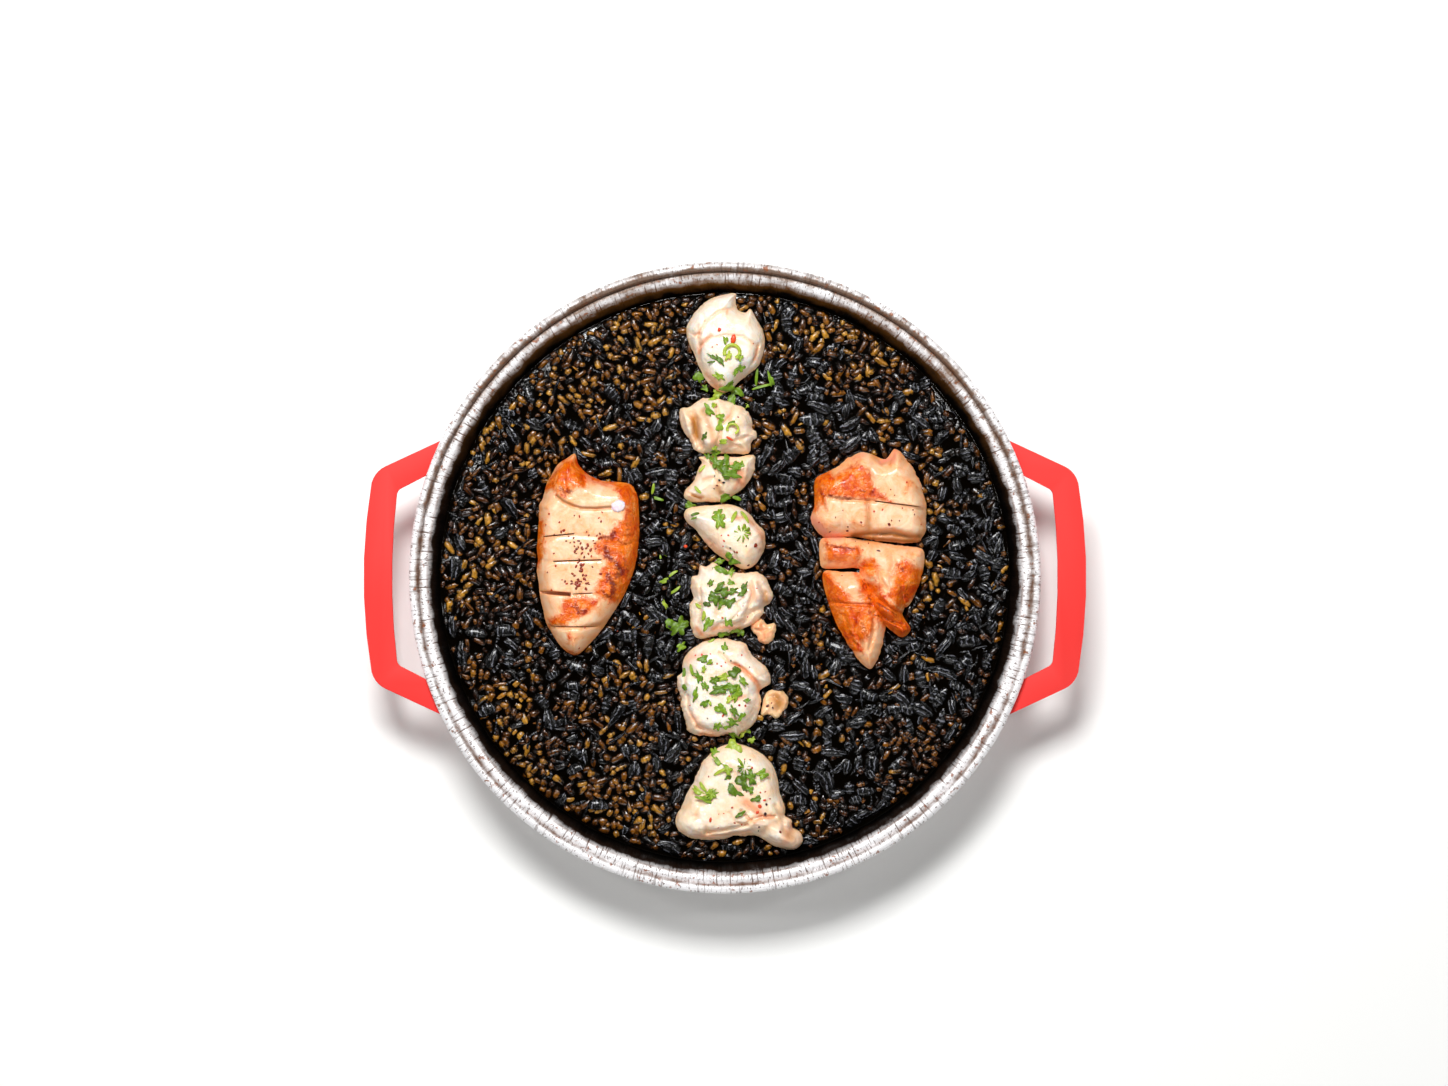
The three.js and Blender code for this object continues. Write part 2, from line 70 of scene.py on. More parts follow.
# %% [markdown]
# Materials are node trees. A few helpers are enough for all of them. One turns a hex colour, as a
# colour picker shows it, into the linear values that a socket takes. One adds a node, sets its
# inputs and links it in one go, and one only links. Where a node is given as an input, its main
# output is meant, such as the colour of a mix, so most links are written as a name alone.

# %% Helpers for materials
MIX_A, MIX_B, MIX_RESULT = 6, 7, 2
MAIN_OUTPUT = {
    "ShaderNodeMix": MIX_RESULT, "ShaderNodeAttribute": "Fac", "ShaderNodeTexCoord": "Object",
}


def linear(hex_colour):
    channels = [int(hex_colour[i : i + 2], 16) / 255 for i in (1, 3, 5)]
    return [c / 12.92 if c <= 0.04045 else ((c + 0.055) / 1.055) ** 2.4 for c in channels] + [1.0]


def socket_of(value):
    """A node stands for its main output."""
    if isinstance(value, bpy.types.Node):
        return value.outputs[MAIN_OUTPUT.get(value.bl_idname, 0)]
    return value


def wire(material, source, target):
    material.node_tree.links.new(socket_of(source), target)


def add(material, kind, inputs=None, **settings):
    """Adds one node. An input takes a number, a hex colour, a socket, or a node."""
    node = material.node_tree.nodes.new("ShaderNode" + kind)
    for name, value in settings.items():
        setattr(node, name, value)
    for name, value in (inputs or {}).items():
        if isinstance(value, (bpy.types.NodeSocket, bpy.types.Node)):
            wire(material, value, node.inputs[name])
        else:
            node.inputs[name].default_value = linear(value) if isinstance(value, str) else value
    return node


def new_material(name):
    material = bpy.data.materials.new(name)
    material.use_nodes = True
    return material, material.node_tree.nodes["Principled BSDF"]


# %% [markdown]
# Daylight studio: one soft window of light from the far side, not overhead, so that level sauce
# stays black and only tilted faces catch it. Weak panels from the other sides fill the shadows, and
# small lamps add the many tiny bright points that tell the eye that the rice is wet. The room's
# walls are grey and its ceiling is dark: the sauce mirrors the ceiling, so it has to be dark for
# the sauce to look black.

# %% Floor and lights
floor_material, floor_shader = new_material("matt_white_paper")
floor_shader.inputs["Base Color"].default_value = linear("#f7f7f5")
floor_shader.inputs["Roughness"].default_value = 0.9
floor_mesh = bpy.data.meshes.new("floor")
floor_bm = bmesh.new()
bmesh.ops.create_grid(floor_bm, x_segments=1, y_segments=1, size=3.0)
floor_bm.to_mesh(floor_mesh)
floor_bm.free()
floor_mesh.materials.append(floor_material)
floor = bpy.data.objects.new("floor", floor_mesh)
bpy.context.scene.collection.objects.link(floor)

world = bpy.data.worlds.new("dim_room")
world.use_nodes = True
room_way = add(world, "TexCoord")
room_split = add(world, "SeparateXYZ", {0: room_way.outputs["Generated"]})
room_light = add(
    world, "MapRange",
    {"Value": room_split.outputs["Z"], "From Min": 0.35, "From Max": 0.75, "To Min": 0.22,
     "To Max": 0.02},
)
wire(world, room_light, world.node_tree.nodes["Background"].inputs["Strength"])
bpy.context.scene.world = world

LIGHTS = [
    {"name": "far_window", "place": (-0.12, 0.62, 1.02), "size": (0.40, 0.28), "power": 15.5},
    {"name": "left_panel", "place": (-1.0, 0.05, 0.42), "size": (0.5, 1.0), "power": 1.7},
    {"name": "right_panel", "place": (1.0, 0.05, 0.42), "size": (0.5, 1.0), "power": 1.7},
    {"name": "near_panel", "place": (0.0, -0.95, 0.62), "size": (0.7, 0.4), "power": 3.3},
    {"name": "lamp_far_left", "place": (-0.52, 0.30, 1.10), "size": (0.12, 0.12), "power": 1.3},
    {"name": "lamp_far_right", "place": (0.50, 0.30, 1.10), "size": (0.12, 0.12), "power": 1.3},
]
for light in LIGHTS:
    light_data = bpy.data.lights.new(light["name"], "AREA")
    light_data.shape = "RECTANGLE"
    light_data.size, light_data.size_y = light["size"]
    light_data.energy = light["power"]
    lamp = bpy.data.objects.new(light["name"], light_data)
    lamp.location = light["place"]
    lamp.rotation_euler = (-Vector(light["place"])).to_track_quat("-Z", "Y").to_euler()
    bpy.context.scene.collection.objects.link(lamp)
print("lights:", len(LIGHTS))

# %% [markdown]
# A few helpers for meshes. A piece's points are handled as one numpy array, which is quick, and
# smooth random fields come from one noise function. Each finished piece rides on the one body of
# the part and hides the solid that it stands for.

# %% Helpers for meshes
def points_of(mesh):
    flat = np.empty(len(mesh.vertices) * 3)
    mesh.vertices.foreach_get("co", flat)
    return flat.reshape(-1, 3)


def set_points(mesh, points):
    mesh.vertices.foreach_set("co", points.ravel())
    mesh.update()


def mesh_from(bm, name):
    mesh = bpy.data.meshes.new(name)
    bm.to_mesh(mesh)
    bm.free()
    return mesh


def paint(mesh, name, values):
    """Keeps one number for each point of a mesh, for its material to read."""
    attribute = mesh.attributes.new(name, "FLOAT", "POINT")
    attribute.data.foreach_set("value", np.asarray(values, dtype=np.float32))


def field(points, size, seed=0.0):
    """A smooth random number from about -1 to 1 at each point; size is the size of its blotches."""
    shift = Vector((seed * 7.31, seed * 3.17, seed * 5.53))
    return np.array([noise.noise(Vector(p) / size + shift) for p in points])


def smooth_step(values, low, high):
    t = np.clip((values - low) / (high - low), 0, 1)
    return t * t * (3 - 2 * t)


def piece(mesh, material, stands_for=()):
    """Puts a finished mesh in the scene, on the part's one body."""
    mesh.materials.clear()
    mesh.materials.append(material)
    mesh.shade_smooth()
    shown = bpy.data.objects.new(mesh.name, mesh)
    bpy.context.scene.collection.objects.link(shown)
    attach(shown, "root")
    if stands_for:
        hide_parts(*stands_for)
    mesh.calc_loop_triangles()
    print(mesh.name, "triangles:", len(mesh.loop_triangles))
    return shown


# %% [markdown]
# The pan is pressed from thin aluminium foil. Its rim is rolled into a bead and the flat ledge
# inside the bead is crimped by the press, so hundreds of fine creases run across it. The pan is a
# section turned round its axis: a few points in the right order, and a grid whose other side winds
# round the axis until it meets itself, where the seam is merged. The creases are then pressed in by
# moving whole columns of points a little, each by its own amount.

# %% The pan's section
PAN_RIM_RADIUS = 105 * MM
PAN_HEIGHT = 32 * MM
FOIL = 0.7 * MM
BEAD_RADIUS = 1.6 * MM
LEDGE_RADIUS = 98.8 * MM
LEDGE_HEIGHT = 29.5 * MM
WALL_SLOPE = 0.3
CORNER_RADIUS = 3 * MM
PLEAT_DEPTH = 0.35 * MM
PAN_COLUMNS = 960


def wall_radius(z):
    return LEDGE_RADIUS - (LEDGE_HEIGHT - z) * WALL_SLOPE


def pan_section():
    """Points (radius, height, share of sauce) from the axis under the base to the axis inside."""
    section = [(0, 0, 0), (30 * MM, 0, 0), (60 * MM, 0, 0)]
    for k in range(5):
        z = CORNER_RADIUS * (1 - math.cos(math.radians(22.5 * k)))
        reach = CORNER_RADIUS * math.sin(math.radians(22.5 * k)) - CORNER_RADIUS
        section.append((wall_radius(z) + FOIL + reach * 0.9, z, 0))
    for k in range(1, 7):
        z = CORNER_RADIUS + (LEDGE_HEIGHT - FOIL - CORNER_RADIUS) * k / 6
        section.append((wall_radius(z) + FOIL, z, 0))
    bead_middle = (PAN_RIM_RADIUS - BEAD_RADIUS, PAN_HEIGHT - BEAD_RADIUS)
    for degrees in range(-90, 211, 20):
        angle = math.radians(degrees)
        section.append((
            bead_middle[0] + BEAD_RADIUS * math.cos(angle),
            bead_middle[1] + BEAD_RADIUS * math.sin(angle),
            0,
        ))
    groove = bead_middle[0] - BEAD_RADIUS * 0.83
    for k in range(1, 7):
        share = k / 6
        crown = 0.35 * MM * math.sin(math.pi * share)
        section.append((groove + (LEDGE_RADIUS + 0.4 * MM - groove) * share, LEDGE_HEIGHT + crown, 0))
    section.append((LEDGE_RADIUS, LEDGE_HEIGHT - 0.25 * MM, 0.25))
    for k in range(1, 11):
        z = LEDGE_HEIGHT - (LEDGE_HEIGHT - CORNER_RADIUS) * k / 10
        section.append((wall_radius(z), z, min(1, 0.35 + 0.25 * k)))
    for k in range(1, 5):
        z = FOIL + (CORNER_RADIUS - FOIL) * (1 - k / 4) ** 2
        reach = -CORNER_RADIUS * (1 - math.cos(math.radians(22.5 * k)))
        section.append((wall_radius(z) + reach, z, 1))
    section += [(60 * MM, FOIL, 1), (0, FOIL, 1)]
    return section


# %% Spin the pan and press the creases
def spun(section, columns):
    """A surface of revolution: a grid with one side wound round the axis and one along the section."""
    bm = bmesh.new()
    bmesh.ops.create_grid(bm, x_segments=columns, y_segments=len(section) - 1, size=0.5)
    sauce = bm.verts.layers.float.new("sauce")
    for vertex in bm.verts:
        radius, z, share = section[round((vertex.co.y + 0.5) * (len(section) - 1))]
        angle = 2 * math.pi * (vertex.co.x + 0.5)
        vertex.co = (radius * math.cos(angle), radius * math.sin(angle), z)
        vertex[sauce] = share
    bmesh.ops.remove_doubles(bm, verts=bm.verts, dist=1e-6)
    bmesh.ops.recalc_face_normals(bm, faces=bm.faces)
    return bm


def press_creases(mesh, draw):
    points = points_of(mesh)
    radius = np.hypot(points[:, 0], points[:, 1])
    angle = np.arctan2(points[:, 1], points[:, 0])
    column = np.round(angle / (2 * math.pi) * PAN_COLUMNS).astype(int) % PAN_COLUMNS
    crease = np.array([draw.uniform(-1, 1) for _ in range(PAN_COLUMNS)])
    soft = 0.5 * crease + 0.25 * (np.roll(crease, 1) + np.roll(crease, -1))
    pleat = np.sin(90 * angle)
    z = points[:, 2]
    on_ledge = (radius < 102.6 * MM) & (radius > LEDGE_RADIUS - 0.1 * MM) & (z > LEDGE_HEIGHT - FOIL / 2)
    on_bead = (radius >= 102.6 * MM) & (z > LEDGE_HEIGHT)
    in_wall = (radius < LEDGE_RADIUS + FOIL) & (radius > wall_radius(0) - CORNER_RADIUS) & (z > FOIL)
    in_wall &= ~on_ledge
    inward = np.zeros(len(points))
    inward += np.where(in_wall, 0.4 * PLEAT_DEPTH * (pleat - 1) * z / LEDGE_HEIGHT, 0)
    inward += np.where(on_bead, 0.06 * MM * soft[column] - 0.06 * MM, 0)
    z = z + np.where(on_ledge, 0.16 * MM * soft[column], 0)
    z = z - np.where(on_bead, 0.04 * MM * (1 + crease[column]), 0)
    scale = (radius + inward) / np.maximum(radius, 1e-9)
    points[:, 0] *= scale
    points[:, 1] *= scale
    points[:, 2] = z
    set_points(mesh, points)


pan_mesh = mesh_from(spun(pan_section(), PAN_COLUMNS), "pan_of_pressed_foil")
press_creases(pan_mesh, random.Random(11))
print("pan height in mm:", round(float(points_of(pan_mesh)[:, 2].max()) / MM, 2))

# %% [markdown]
# Bare aluminium foil: rolled thin, so it is bright but not a mirror. A dark brown line runs along
# the groove beside the bead and along the lip of the ledge: partly a baked stain, partly painted
# shade in these folds. Black sauce has dried on the inner wall; on the far wall it is painted a
# lighter brown, as painted light, and the rim is painted lighter towards the near side and browner
# towards the far side, as painted light and shade. The creases are thinner than the mesh can
# carry, so a noise that is stretched along the radius draws them as thin dark lines of painted
# shade: its first coordinate is the angle times the radius, in millimetres round the rim.

# %% Foil material
foil, foil_shader = new_material("rolled_aluminium_foil")
place = add(foil, "TexCoord")
split = add(foil, "SeparateXYZ", {0: place})
round_angle = add(foil, "Math", {0: split.outputs["Y"], 1: split.outputs["X"]}, operation="ARCTAN2")
flat_place = add(foil, "CombineXYZ", {0: split.outputs["X"], 1: split.outputs["Y"]})
radius_out = add(foil, "VectorMath", {0: flat_place}, operation="LENGTH")
along_rim = add(foil, "Math", {0: round_angle, 1: 0.1}, operation="MULTIPLY")
unrolled = add(foil, "CombineXYZ", {0: along_rim, 1: radius_out.outputs["Value"]})
CREASE_EACH_MM = 0.9
CREASES_PER_MM_OUT = 0.12
stretched = add(
    foil, "VectorMath",
    {0: unrolled, 1: (1 / (CREASE_EACH_MM * MM), CREASES_PER_MM_OUT / MM, 1)}, operation="MULTIPLY",
)
crease_noise = add(foil, "TexNoise", {"Vector": stretched, "Scale": 1.0, "Detail": 2.0})
# Thin dark lines of painted shade where the long crimped creases of the ledge run.
crease_shade_line = add(
    foil, "MapRange",
    {"Value": crease_noise, "From Min": 0.36, "From Max": 0.42, "To Min": 0.9, "To Max": 0.0},
)
ledge_band = add(
    foil, "MapRange",
    {"Value": radius_out.outputs["Value"], "From Min": 101.9 * MM, "From Max": 102.5 * MM,
     "To Min": 1.0, "To Max": 0.6},
)
long_crease_shade = add(foil, "Math", {0: crease_shade_line, 1: ledge_band}, operation="MULTIPLY")
TICK_EACH_MM = 0.55
TICK_LENGTH_MM = 1.3
tick_place = add(
    foil, "VectorMath",
    {0: unrolled, 1: (1 / (TICK_EACH_MM * MM), 1 / (TICK_LENGTH_MM * MM), 1)}, operation="MULTIPLY",
)
tick_noise = add(foil, "TexNoise", {"Vector": tick_place, "Scale": 1.0, "Detail": 1.0})
# Short radial ticks of painted shade: the fine crimps across the ledge.
crease_tick_shade = add(
    foil, "MapRange",
    {"Value": tick_noise, "From Min": 0.32, "From Max": 0.39, "To Min": 0.85, "To Max": 0.0},
)
crease_shade = add(foil, "Math", {0: long_crease_shade, 1: crease_tick_shade}, operation="MAXIMUM")
GROOVE_RADIUS_MM = 101.95
groove_distance = add(
    foil, "Math", {0: radius_out.outputs["Value"], 1: GROOVE_RADIUS_MM * MM}, operation="SUBTRACT"
)
groove_off = add(foil, "Math", {0: groove_distance}, operation="ABSOLUTE")
# A dark brown line along the groove and along the lip: partly a baked stain, partly painted shade.
groove_line = add(
    foil, "MapRange",
    {"Value": groove_off, "From Min": 0.15 * MM, "From Max": 0.7 * MM, "To Min": 1.0, "To Max": 0.0},
)
LIP_RADIUS_MM = 99.0
lip_distance = add(
    foil, "Math", {0: radius_out.outputs["Value"], 1: LIP_RADIUS_MM * MM}, operation="SUBTRACT"
)
lip_off = add(foil, "Math", {0: lip_distance}, operation="ABSOLUTE")
lip_line = add(
    foil, "MapRange",
    {"Value": lip_off, "From Min": 0.1 * MM, "From Max": 0.55 * MM, "To Min": 0.85, "To Max": 0.0},
)
groove_and_lip_shade = add(foil, "Math", {0: groove_line, 1: lip_line}, operation="MAXIMUM")
STAIN_MM = 9
stain_noise = add(
    foil, "TexNoise",
    {"Vector": place, "Scale": 1 / (STAIN_MM * MM), "Detail": 5.0, "Roughness": 0.65},
)
stain_amount = add(
    foil, "MapRange",
    {"Value": stain_noise, "From Min": 0.38, "From Max": 0.68, "To Min": 0.15, "To Max": 1.0},
)
groove_stain_and_shade = add(foil, "Math", {0: groove_and_lip_shade, 1: stain_amount}, operation="MULTIPLY")
SPECK_MM = 2.2
speck_noise = add(
    foil, "TexNoise",
    {"Vector": place, "Scale": 1 / (SPECK_MM * MM), "Detail": 3.0, "Roughness": 0.6},
)
specks = add(
    foil, "MapRange",
    {"Value": speck_noise, "From Min": 0.61, "From Max": 0.68, "To Min": 0.0, "To Max": 0.85},
)
FAR_SIDE_MM = 105
# Painted light and shade: the rim is painted lighter towards the near side and browner towards the far
# side.
far_side_shade = add(
    foil, "MapRange",
    {"Value": split.outputs["Y"], "From Min": -FAR_SIDE_MM * MM, "From Max": FAR_SIDE_MM * MM,
     "To Min": -0.4, "To Max": 0.14},
)
# Browner within about a millimetre of the groove, cleaner farther from it.
groove_side_tone = add(
    foil, "MapRange",
    {"Value": groove_off, "From Min": 0.5 * MM, "From Max": 1.7 * MM, "To Min": 0.12, "To Max": -0.22},
)
far_shade_and_groove_tone = add(foil, "Math", {0: far_side_shade, 1: groove_side_tone}, operation="ADD")
tarnish_and_far_shade = add(foil, "Math", {0: stain_noise, 1: far_shade_and_groove_tone}, operation="ADD", use_clamp=True)
foil_tone_and_far_shade = add(foil, "Math", {0: speck_noise, 1: 0.55, 2: tarnish_and_far_shade}, operation="MULTIPLY_ADD")
foil_tone_range = add(
    foil, "MapRange", {"Value": foil_tone_and_far_shade, "From Min": 0.52, "From Max": 0.92}
)
# The foil's tone: random specks and tarnish, with the painted light and shade of near and far sides.
tone = add(foil, "Mix", {0: foil_tone_range, MIX_A: "#f2f0f1", MIX_B: "#7d6758"}, data_type="RGBA")
with_crease_shade = add(foil, "Mix", {0: crease_shade, MIX_A: tone, MIX_B: "#54392b"}, data_type="RGBA")
with_groove_stain_and_shade = add(
    foil, "Mix", {0: groove_stain_and_shade, MIX_A: with_crease_shade, MIX_B: "#6a4328"}, data_type="RGBA"
)
with_specks = add(foil, "Mix", {0: specks, MIX_A: with_groove_stain_and_shade, MIX_B: "#8a4a1e"}, data_type="RGBA")
sauce_share = add(foil, "Attribute", attribute_name="sauce")
sauce_uneven = add(foil, "Math", {0: stain_noise, 1: -0.5}, operation="ADD")
sauce_sum = add(foil, "Math", {0: sauce_share, 1: sauce_uneven}, operation="ADD")
sauce_here = add(foil, "MapRange", {"Value": sauce_sum, "From Min": 0.12, "From Max": 0.6})
sauce_deep = add(foil, "MapRange", {"Value": sauce_sum, "From Min": 0.32, "From Max": 1.0})
# Painted light: the film of sauce is painted a lighter brown on the far wall than on the near wall.
far_wall_light_share = add(
    foil, "MapRange", {"Value": split.outputs["Y"], "From Min": 20 * MM, "From Max": 95 * MM}
)
thin_sauce_and_far_light = add(foil, "Mix", {0: far_wall_light_share, MIX_A: "#2a1b13", MIX_B: "#8a581f"}, data_type="RGBA")
sauce_tone = add(
    foil, "Mix", {0: sauce_deep, MIX_A: thin_sauce_and_far_light, MIX_B: "#050302"}, data_type="RGBA"
)
foil_colour = add(
    foil, "Mix", {0: sauce_here, MIX_A: with_specks, MIX_B: sauce_tone}, data_type="RGBA"
)
# Where painted shade and stain lie, the foil is less metallic.
painted_shade_and_stain = add(foil, "Math", {0: groove_stain_and_shade, 1: crease_shade}, operation="MAXIMUM")
bare_a = add(foil, "Math", {0: 0.18, 1: painted_shade_and_stain}, operation="SUBTRACT")
bare_b = add(foil, "Math", {0: bare_a, 1: sauce_here}, operation="SUBTRACT", use_clamp=True)
wire(foil, foil_colour, foil_shader.inputs["Base Color"])
wire(foil, bare_b, foil_shader.inputs["Metallic"])
foil_shader.inputs["Roughness"].default_value = 0.46
gloss = add(foil, "MapRange", {"Value": sauce_here, "To Min": 0.5, "To Max": 0.08})
wire(foil, gloss, foil_shader.inputs["Specular IOR Level"])
scratch = add(foil, "MapRange", {"Value": crease_noise, "From Min": 0.3, "From Max": 0.7})
foil_bump = add(foil, "Bump", {"Height": scratch, "Strength": 0.6, "Distance": 0.25 * MM})
wire(foil, foil_bump, foil_shader.inputs["Normal"])
piece(pan_mesh, foil, ["foil_pan"])

# %% [markdown]
# The handles are die-cut from thick red card. A knife leaves card edges crisp but never razor
# sharp, so the corners get a fine bevel. The outline is the frame's own: a copy of each solid is
# merged, its flat faces are joined into whole ones, and bmesh's bevel rounds the edges.

# %% Card handles
CARD_EDGE = 0.22 * MM


def bevelled_copy(node_name, name):
    bm = bmesh.new()
    bm.from_mesh(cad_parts[node_name].data)
    bmesh.ops.remove_doubles(bm, verts=bm.verts, dist=1e-6)
    bmesh.ops.dissolve_limit(
        bm, angle_limit=math.radians(1), verts=bm.verts, edges=bm.edges, use_dissolve_boundaries=False
    )
    sharp = [e for e in bm.edges if e.is_manifold and e.calc_face_angle() > math.radians(60)]
    bmesh.ops.bevel(
        bm, geom=sharp, offset=CARD_EDGE, offset_type="OFFSET", segments=2, profile=0.5,
        affect="EDGES", material=-1, clamp_overlap=True,
    )
    bmesh.ops.recalc_face_normals(bm, faces=bm.faces)
    return mesh_from(bm, name)


card, card_shader = new_material("red_card_stock")
card_place = add(card, "TexCoord")
FIBRE_MM = 0.8
fibres = add(
    card, "TexNoise",
    {"Vector": card_place, "Scale": 1 / (FIBRE_MM * MM), "Detail": 4.0, "Roughness": 0.7},
)
CLOUD_MM = 30
clouds = add(card, "TexNoise", {"Vector": card_place, "Scale": 1 / (CLOUD_MM * MM), "Detail": 1.0})
card_tone = add(card, "Mix", {0: clouds, MIX_A: "#ea3531", MIX_B: "#ee403c"}, data_type="RGBA")
card_bump = add(card, "Bump", {"Height": fibres, "Strength": 0.25, "Distance": 0.05 * MM})
wire(card, card_tone, card_shader.inputs["Base Color"])
wire(card, card_bump, card_shader.inputs["Normal"])
card_shader.inputs["Roughness"].default_value = 0.6
card_shader.inputs["Specular IOR Level"].default_value = 0.2
for side in ("left", "right"):
    handle = piece(
        bevelled_copy(f"handle_{side}", f"card_handle_{side}"), card, [f"handle_{side}"]
    )
    handle.data.set_sharp_from_angle(angle=math.radians(35))

# %% [markdown]
# The toppings come before the rice, because the rice has to leave room for them. Their outlines
# start from the frame's and lie where its solids lie: points round each chunk, as seen from
# above, in millimetres. Where the photograph shows more notches than a faceted solid has, there
# are more points, so the edges of some chunks differ from the solid's, and those of the two small
# flaps clearly do.

# %% Outlines of the toppings
BED_MM = 20.3

FISH = [
    {
        "name": "fish_1", "height": 10.6,
        "outline": [
            (13.3, 80), (10.6, 86.4), (8.4, 89.8), (7, 88.6), (4.6, 89.4), (3.6, 92), (3.6, 94.8),
            (0.8, 94.8), (-6, 92.5), (-12.8, 84), (-10, 74), (-5.5, 65), (0, 61.8), (6, 66.5),
            (11.5, 71.5),
        ],
        "folds": [([(-8, 74), (-8.5, 84), (-3, 90.5), (4, 91)], 2.4),
                  ([(-8, 77.5), (-1, 80), (7, 80.5), (12, 78)], 1.6)],
    },
    {
        "name": "fish_2", "height": 10,
        "outline": [
            (10.8, 46.6), (10.4, 48.8), (9.1, 49.8), (9.2, 52.6), (8, 55.2), (4.7, 57.5), (0, 59.2),
            (-5.3, 60.2), (-8.7, 59.2), (-12.2, 56.9), (-14.4, 56.8), (-15.3, 55.2), (-15, 52),
            (-13.6, 48.5), (-11.2, 46), (-10.8, 43.2), (-8.4, 41.8), (0.9, 41.4), (8.2, 41.8),
            (8.8, 45),
        ],
        "folds": [([(-13, 54), (-10, 50), (-9, 44)], 4), ([(1, 57), (0.5, 50), (3, 43)], 2)],
    },
    {
        "name": "fish_3", "height": 9,
        "outline": [
            (10.1, 40.6), (7.6, 40.8), (4.7, 40.3), (-3, 40.4), (-8.6, 40), (-7.6, 38.4),
            (-9.2, 35.6), (-10.6, 31.8), (-13.2, 29.2), (-13.6, 26.8), (-11, 25.2), (-6.3, 25.1),
            (-0.1, 25.7), (2.3, 27.2), (5.6, 29.4), (8, 32.2), (8.8, 33.4), (9.9, 36.4),
        ],
        "folds": [([(-12, 28.5), (-8, 27.5), (-3, 28)], 2.6), ([(1, 39), (0, 33), (3, 28)], 1.6)],
    },
    {
        "name": "fish_4", "height": 10.5,
        "outline": [
            (13.5, 10.8), (12.8, 15.6), (10.4, 18.4), (8.5, 21), (4.7, 23.5), (0.9, 24.3),
            (-3.9, 24.1), (-8.7, 23.8), (-12.7, 22.9), (-13.7, 20.8), (-12.6, 18.4), (-10, 16.2),
            (-8.7, 14.3), (-5.8, 10.8), (-2.5, 7.6), (2.8, 4.4), (5.6, 3), (8.2, 3), (11.3, 5.6),
        ],
        "folds": [],
    },
    {
        "name": "fish_5", "height": 10,
        "outline": [
            (16.3, -6), (15, -3.4), (13.6, -0.4), (10.4, 1.6), (6.4, 1.4), (2.3, 2), (-1.8, 3.9),
            (-3.9, 5), (-6.2, 3.6), (-8.2, 3.8), (-9, 0.8), (-11, 0.2), (-11.4, -3), (-10.6, -7.4),
            (-11.8, -9.8), (-11.2, -16), (-9.8, -20.2), (-4, -19.9), (2, -18.6), (7.1, -16.8),
            (10.4, -14.7), (12.8, -12.4), (13, -10.2), (15.2, -8.4),
        ],
        "folds": [([(10, 0), (10.5, -6), (8, -13)], 1.6), ([(-8, 3), (-7.5, -7), (-6, -17)], 1.4)],
    },
    {
        "name": "fish_5_sliver", "height": 5,
        "outline": [
            (17.4, -18.5), (16.6, -15.4), (14, -15.6), (12.2, -13.6), (8.8, -15.6), (9.4, -18.4),
            (10.8, -19.6), (11.4, -21.6), (15.2, -22),
        ],
        "folds": [],
    },
    {
        "name": "fish_6", "height": 10.4,
        "outline": [
            (11.8, -41), (11.8, -38.2), (13.2, -37), (15.5, -35.2), (15, -32.6), (13.5, -29.9),
            (10.9, -27.6), (8.5, -24.9), (6.2, -22.2), (2.3, -20.7), (-6.3, -21.1), (-9.1, -22.7),
            (-12, -24.8), (-13.9, -27.6), (-14.7, -31.6), (-16, -33.2), (-15.8, -36.8),
            (-14.9, -39.8), (-14.4, -44), (-12.9, -49.2), (-11.6, -51.8), (-7.7, -53.3),
            (-3.9, -53.1), (2.3, -52.5), (4.3, -53.4), (5.2, -52.2), (8.5, -50.2), (10.9, -46.6),
        ],
        "folds": [([(0, -28), (7, -30), (13, -36)], 1.6)],
    },
    {
        "name": "fish_6_flap", "height": 5,
        "outline": [
            (21.3, -41.5), (19.6, -38.4), (16, -37.4), (13.4, -39.6), (12.6, -42.6), (12.2, -46.4),
            (14.4, -46), (17.4, -47.4), (19.4, -45.6),
        ],
        "folds": [([(17.4, -41), (18, -43.5)], 1.8)],
    },
    {
        "name": "fish_7", "height": 10.5,
        "outline": [
            (18.4, -72), (17.4, -66.6), (15.4, -62), (9.5, -57.4), (1, -55.8), (-6, -60),
            (-11.5, -70), (-16.4, -82.5), (-12, -87), (-3, -87.6), (10, -86.4), (17, -90),
            (23.4, -91), (26, -88.4), (25.2, -85.2), (22.8, -84), (22.4, -81.4), (19.8, -79.6),
            (20, -76.8),
        ],
        "folds": [([(-1, -83), (8, -82), (17, -78)], 1.8)],
    },
]

